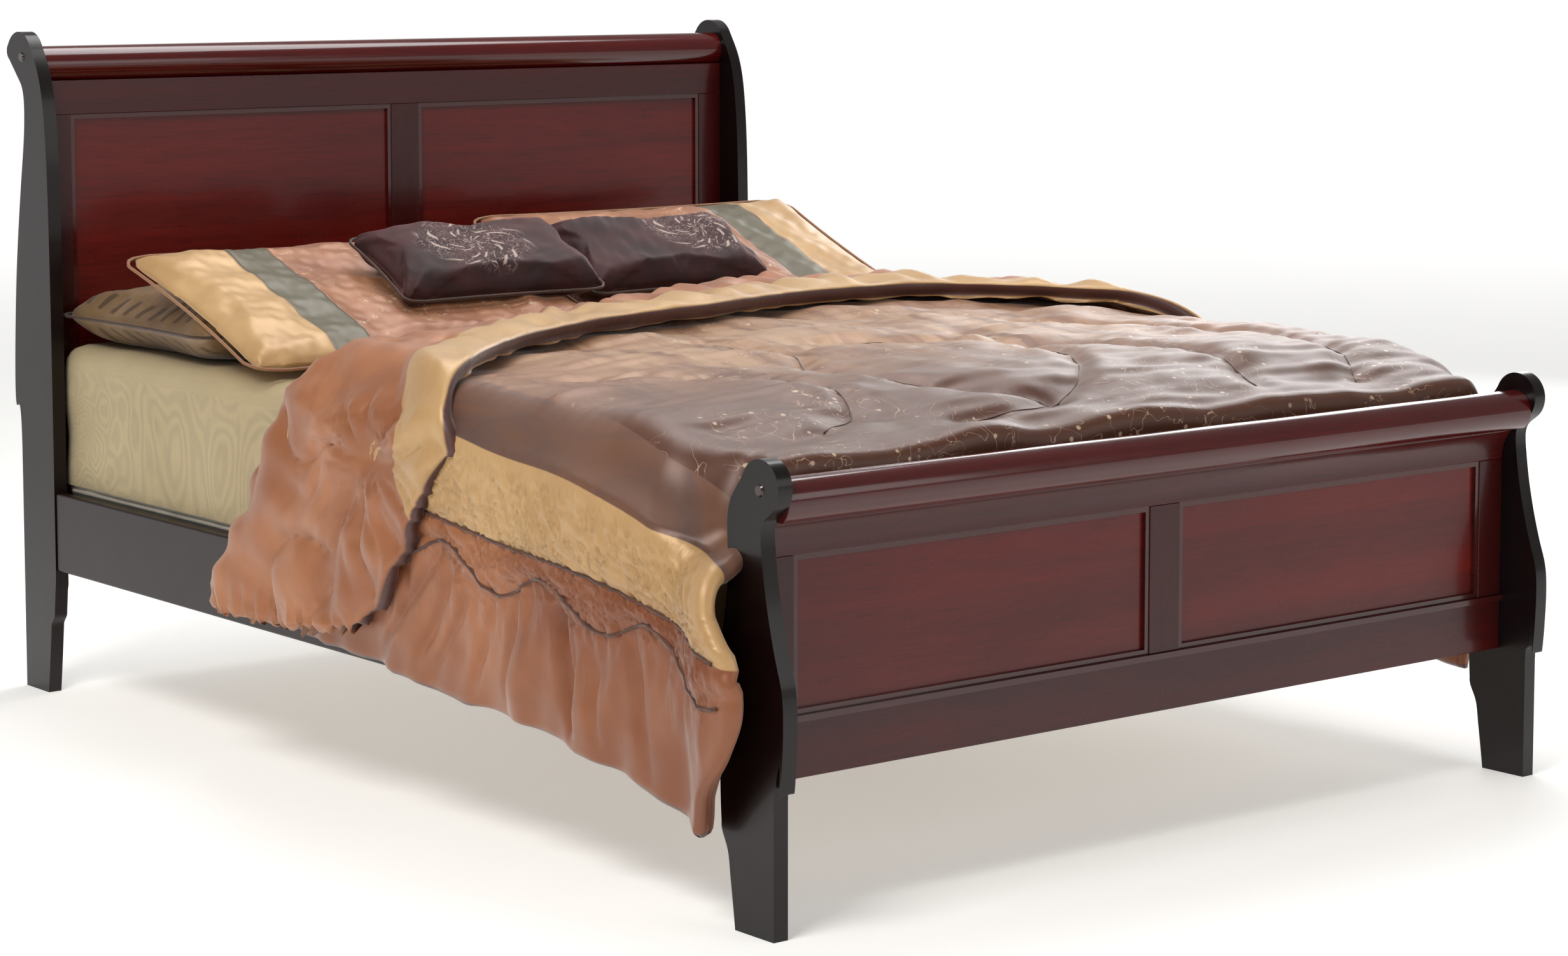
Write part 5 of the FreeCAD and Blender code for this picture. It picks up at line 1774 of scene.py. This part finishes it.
@dataclass(frozen=True)
class StuffedPad:
    """A stuffed cloth case and its lie on the bed."""

    name: str
    node: str
    case: Case
    tilt: float
    seed: int

    @property
    def centre(self) -> Vector:
        """The middle of the node that it stands for."""
        low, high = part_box(self.node)
        return (low + high) / 2

    def build(self, material: bpy.types.Material, trim: bpy.types.Material) -> bpy.types.Object:
        """Build the case with its welt.

        Args:
            material: its cloth.
            trim: the cloth of its welt.

        Returns:
            The case.
        """
        piece = self._rough_form(material)
        self._inflate(piece)
        points = np.array([v.co for v in piece.data.vertices])
        points = self._wrinkled(points)
        Workshop.lay_cloth(piece.data, points[:, :2])
        piece.data.vertices.foreach_set("co", self._placed(points).ravel())
        piece.data.update()
        piece.data.shade_smooth()
        Fixing(self.node, (self.node,), self.case.slot).fasten(piece)
        welt = Workshop.tube(f"{self.name}.welt", self._placed(self._seam_path()), 0.0028, trim)
        Fixing(self.node, (), self.case.slot).fasten(welt)
        return piece

    def _outline(self, angle: Array) -> tuple[Array, Array]:
        """The seam's X and Y at an angle round the case, with sides drawn in between the corners."""
        c, s = np.cos(angle), np.sin(angle)
        square = 1.0 / np.maximum(np.abs(c), np.abs(s))
        x, y = c * square, s * square
        round_off = 1.0 - 0.045 * ease(np.minimum(np.abs(x), np.abs(y)), 0.82, 1.0)
        draw = 1.0 - self.case.pinch * (1.0 - np.minimum(np.abs(x), np.abs(y)) ** 2)
        return x * round_off * draw * self.case.width / 2, y * round_off * draw * self.case.depth / 2

    def _seam_path(self) -> Array:
        """The closed line of the seam."""
        angle = np.linspace(0.0, math.tau, 181)
        x, y = self._outline(angle)
        return np.column_stack([x * 1.002, y * 1.002, np.zeros_like(x)])

    def _rough_form(self, material: bpy.types.Material) -> bpy.types.Object:
        """Two crowned faces sewn together along the seam."""
        rings, spokes = 26, 120
        angle = np.linspace(0.0, math.tau, spokes, endpoint=False)
        edge_x, edge_y = self._outline(angle)
        points, faces = [], []
        for side, rise in ((1.0, self.case.above), (-1.0, self.case.below)):
            start = len(points)
            points.append((0.0, 0.0, side * rise))
            for ring in range(1, rings + 1):
                share = math.sin(ring / rings * math.pi / 2)
                x, y = edge_x * share, edge_y * share
                u, v = np.abs(2 * x / self.case.width), np.abs(2 * y / self.case.depth)
                wide, deep = 1 - np.clip(u, 0, 1) ** 3.4, 1 - np.clip(v, 0, 1) ** 3.0
                limit = math.sqrt(max(0.0, 1 - share**3)) if ring < rings else 0.0
                crown = np.minimum(np.sqrt(wide) * np.sqrt(deep), limit)
                points += list(zip(x, y, side * (rise * crown + 0.0008)))
            for spoke in range(spokes):
                after = (spoke + 1) % spokes
                face = (start, start + 1 + spoke, start + 1 + after)
                faces.append(face if side > 0 else face[::-1])
                for ring in range(rings - 1):
                    a = start + 1 + ring * spokes
                    b = a + spokes
                    face = (a + spoke, b + spoke, b + after, a + after)
                    faces.append(face if side > 0 else face[::-1])
        top_rim, low_rim = 1 + (rings - 1) * spokes, (len(points) // 2) + 1 + (rings - 1) * spokes
        for spoke in range(spokes):
            after = (spoke + 1) % spokes
            faces.append((top_rim + after, top_rim + spoke, low_rim + spoke, low_rim + after))
        return Workshop.mesh(self.name, points, faces, material)

    def _inflate(self, piece: bpy.types.Object) -> None:
        """Blow the case up as cloth, and keep each point within the cap."""
        material = piece.data.materials[0]
        remesh = piece.modifiers.new("remesh", "REMESH")
        remesh.mode = "VOXEL"
        remesh.voxel_size = self.case.voxel
        self._apply(piece)
        start = np.array([v.co for v in piece.data.vertices])
        cloth = piece.modifiers.new("cloth", "CLOTH")
        cloth.settings.quality = 5
        cloth.settings.mass = 0.2
        cloth.settings.use_pressure = True
        cloth.settings.uniform_pressure_force = self.case.pressure
        cloth.settings.tension_stiffness = 12
        cloth.settings.bending_stiffness = 0.4
        cloth.settings.shrink_min = -0.03
        cloth.settings.effector_weights.gravity = 0.0
        cloth.point_cache.frame_start, cloth.point_cache.frame_end = 1, self.case.frames
        scene = bpy.context.scene
        for number in range(1, self.case.frames + 1):
            scene.frame_set(number)
        swollen = piece.evaluated_get(bpy.context.evaluated_depsgraph_get())
        ended = np.array([v.co for v in swollen.data.vertices])
        piece.modifiers.clear()
        scene.frame_set(1)
        moved = ended - start
        length = np.linalg.norm(moved, axis=1, keepdims=True)
        limited = start + moved * np.minimum(1.0, self.case.cap / np.maximum(length, 1e-9))
        limited[:, 2] = np.clip(limited[:, 2], -self.case.below - 0.001, self.case.above + 0.004)
        piece.data.vertices.foreach_set("co", limited.ravel())
        piece.data.update()
        smooth = piece.modifiers.new("round", "SUBSURF")
        smooth.levels = smooth.render_levels = 1
        self._apply(piece)
        if not piece.data.materials:
            piece.data.materials.append(material)

    @staticmethod
    def _apply(piece: bpy.types.Object) -> None:
        """Replace a piece's mesh by what its modifiers make of it."""
        made = bpy.data.meshes.new_from_object(piece.evaluated_get(bpy.context.evaluated_depsgraph_get()))
        piece.modifiers.clear()
        piece.data = made

    def _wrinkled(self, points: Array) -> Array:
        """Soft dents all over and short wrinkles that run in from the corners."""
        x, y, z = points.T
        u, v = np.abs(2 * x / self.case.width), np.abs(2 * y / self.case.depth)
        corner = np.clip(u * v, 0, 1) ** 1.5
        radial = np.arctan2(np.abs(y) - self.case.depth / 2, np.abs(x) - self.case.width / 2)
        ray = np.sin(radial * 9.0 + self.seed) * corner * 0.0035
        dents = 0.0035 * Ripple(self.seed + 70, 0.16).at(x, y) + 0.0012 * Ripple(self.seed + 90, 0.05).at(x, y)
        inside = ease(1.0 - np.maximum(u, v), 0.0, 0.18)
        made = points.copy()
        rays = ray * ease(1.0 - np.maximum(u, v), 0.0, 0.06)
        made[:, 2] += np.where(z > 0, 1.0, 0.25) * np.sign(z) * (rays + dents * inside)
        return made

    def _placed(self, points: Array) -> Array:
        """Local points tilted and moved to where the case lies."""
        tilt = math.radians(self.tilt)
        lean = np.array([[1, 0, 0], [0, math.cos(tilt), -math.sin(tilt)], [0, math.sin(tilt), math.cos(tilt)]])
        return points @ lean.T + np.array(self.centre)


@dataclass
class HeadPile:
    """The pillows, shams and cushions heaped at the head."""

    pads: tuple[StuffedPad, ...] = (
        StuffedPad("pillow.left", "pillow_left", PILLOW, 0.0, seed=1),
        StuffedPad("pillow.right", "pillow_right", PILLOW, 0.0, seed=2),
        StuffedPad("sham.left", "sham_left", SHAM, 19.0, seed=3),
        StuffedPad("sham.right", "sham_right", SHAM, 22.0, seed=4),
        StuffedPad("cushion.left", "cushion_left", CUSHION, 26.0, seed=5),
        StuffedPad("cushion.right", "cushion_right", CUSHION, 28.0, seed=6),
    )

    def build(self) -> None:
        """Build every pad."""
        pillow = PillowSatin("pillow_satin", 0.29).material()
        cloths = {
            "pillow_left": pillow,
            "pillow_right": pillow,
            "sham_left": ShamSatin("sham_satin_left", -0.215, -0.135).material(),
            "sham_right": ShamSatin("sham_satin_right", -0.215, -0.135, True).material(),
            "cushion_left": SwirlVelvet("cushion_velvet_left", (-0.02, 0.0)).material(),
            "cushion_right": SwirlVelvet("cushion_velvet_right", (0.10, 0.02)).material(),
        }
        brown = PlainCloth("welt_brown", tint(70, 40, 26), tint(40, 20, 14), roughness=0.5).material()
        gold = PlainCloth("welt_gold", PALETTE.gold_deep, PALETTE.copper_deep_and_shade, roughness=0.5).material()
        for pad in self.pads:
            pad.build(cloths[pad.node], gold if pad.node.startswith("sham") else brown)


# ------------------------------------------------------------------ studio


@dataclass(frozen=True)
class Softbox:
    """One area light."""

    name: str
    place: Point
    aim: Point
    size: tuple[float, float]
    power: float
    colour: Colour = (1.0, 1.0, 1.0)

    def hang(self) -> None:
        """Make the light and point it."""
        light = bpy.data.lights.new(self.name, "AREA")
        light.shape = "RECTANGLE"
        light.size, light.size_y = self.size
        light.energy = self.power
        light.color = self.colour
        lamp = bpy.data.objects.new(self.name, light)
        lamp.location = self.place
        lamp.rotation_euler = (Vector(self.aim) - Vector(self.place)).to_track_quat("-Z", "Y").to_euler()
        bpy.context.scene.collection.objects.link(lamp)


@dataclass
class Studio:
    """The floor, the backdrop, the lights and the camera."""

    camera_place: Point = (-3.778, -4.8314, 1.3562)
    yaw: float = 0.6763
    pitch: float = -0.0967
    lens: float = 82.56
    shift: tuple[float, float] = (0.0021, -0.12)
    lights: tuple[Softbox, ...] = (
        Softbox("key_softbox", (-3.4, -1.6, 4.2), (-0.2, -0.1, 0.5), (2.0, 1.6), 150.0, (1.0, 0.97, 0.93)),
        Softbox("top_softbox", (0.9, 0.9, 4.0), (0.0, 0.0, 0.6), (2.4, 2.0), 90.0),
        Softbox("fill_softbox", (1.5, -5.2, 2.2), (0.2, -0.6, 0.5), (3.2, 2.0), 36.0, (1.0, 0.99, 0.97)),
        Softbox("rim_softbox", (4.2, 2.2, 2.4), (0.3, 0.3, 0.7), (2.0, 2.4), 60.0),
    )

    def build(self) -> None:
        """Set the studio up."""
        bpy.context.scene.view_settings.view_transform = "Standard"
        self._sweep()
        self._world()
        for light in self.lights:
            light.hang()
        self._camera()

    def _sweep(self) -> None:
        """A pale floor with a painted glow, brighter far off."""
        recipe = Recipe("studio_paper_glow")
        mottle = recipe.noise(recipe.place(), 2.0, 3.0, 0.5)
        colour = recipe.mix(mottle, (0.86, 0.86, 0.85), (0.90, 0.90, 0.89))
        across, along, _ = recipe.axes(recipe.place())
        far = recipe.math("SQRT", across * across + along * along)
        # Painted light: the floor glows, dimly near the bed and brighter far off.
        glow = recipe.mix(far.above(7.0, 5.0), (0.32, 0.318, 0.31), (0.76, 0.757, 0.75))
        glowing_paper = recipe.finish(
            {
                "Base Color": colour,
                "Roughness": mottle * 0.1 + 0.85,
                "Emission Color": glow,
                "Emission Strength": 1.0,
            }
        )
        half = 80.0
        corners = [(-half, -half, 0.0), (half, -half, 0.0), (half, half, 0.0), (-half, half, 0.0)]
        floor = Workshop.mesh("studio_floor", corners, [(0, 1, 2, 3)], glowing_paper)

    @staticmethod
    def _world() -> None:
        """Even pale light from all round."""
        world = bpy.data.worlds.new("studio_air")
        recipe = Recipe("studio_air", world)
        toward = recipe.node("ShaderNodeTexCoord", output="Generated")
        across, along, up = recipe.axes(toward)
        far_side = (across * 0.63 + along * 0.78).above(0.55, 0.3) * abs(up).below(0.35, 0.25)
        dim, bright = 0.28, 1.03
        white = (1.0, 0.995, 0.985)
        colour = recipe.mix(far_side, tuple(level * dim / bright for level in white), white)
        glow = recipe.node("ShaderNodeBackground", inputs={"Color": colour, "Strength": bright}, output="Background")
        out = recipe.tree.nodes.new("ShaderNodeOutputWorld")
        recipe.tree.links.new(glow.socket, out.inputs["Surface"])
        bpy.context.scene.world = world

    def _camera(self) -> None:
        """The camera."""
        lens = bpy.data.cameras.new("camera")
        lens.lens, lens.sensor_width = self.lens, 36.0
        lens.shift_x, lens.shift_y = self.shift
        camera = bpy.data.objects.new("camera", lens)
        camera.location = self.camera_place
        ahead = Vector(
            (
                math.sin(self.yaw) * math.cos(self.pitch),
                math.cos(self.yaw) * math.cos(self.pitch),
                math.sin(self.pitch),
            )
        )
        camera.rotation_euler = ahead.to_track_quat("-Z", "Y").to_euler()
        bpy.context.scene.collection.objects.link(camera)
        bpy.context.scene.camera = camera


# ------------------------------------------------------------------ the whole bed


def main() -> None:
    """Build the bed, piece by piece."""
    logging.basicConfig(level=logging.INFO, format="%(message)s")
    finishes = BedsteadFinishes()
    Studio().build()
    for kind in ("headboard", "footboard"):
        EndFrame(kind, finishes).build()
    SideRails(finishes).build()
    SlattedBase(finishes).build()
    MattressSet(
        ticking=PlainCloth("mattress_ticking_cloth", tint(226, 220, 206), tint(190, 184, 170), 0.0012).material(),
        linen=PlainCloth("sheet_cotton", tint(194, 176, 138), tint(172, 154, 116), 0.0007, 0.8, 0.2, 0.10).material(),
        base_cloth=PlainCloth("foundation_weave", tint(196, 190, 178), tint(150, 146, 136), 0.0016).material(),
        border=PlainCloth("border_tape", tint(206, 198, 182), tint(150, 144, 130), 0.0014).material(),
    ).build()
    cord = PlainCloth("comforter_cord", tint(92, 50, 30), tint(50, 24, 14), 0.0012, 0.45, 0.3, 0.1).material()
    layout = CoverLayout()
    Comforter(CoverSatin("comforter_face", layout).material(), cord, layout).build()
    Turnback(TurnbackSatin("comforter_reverse", 0.125, 0.945).material()).build()
    HeadPile().build()


if __name__ == "__main__":
    main()
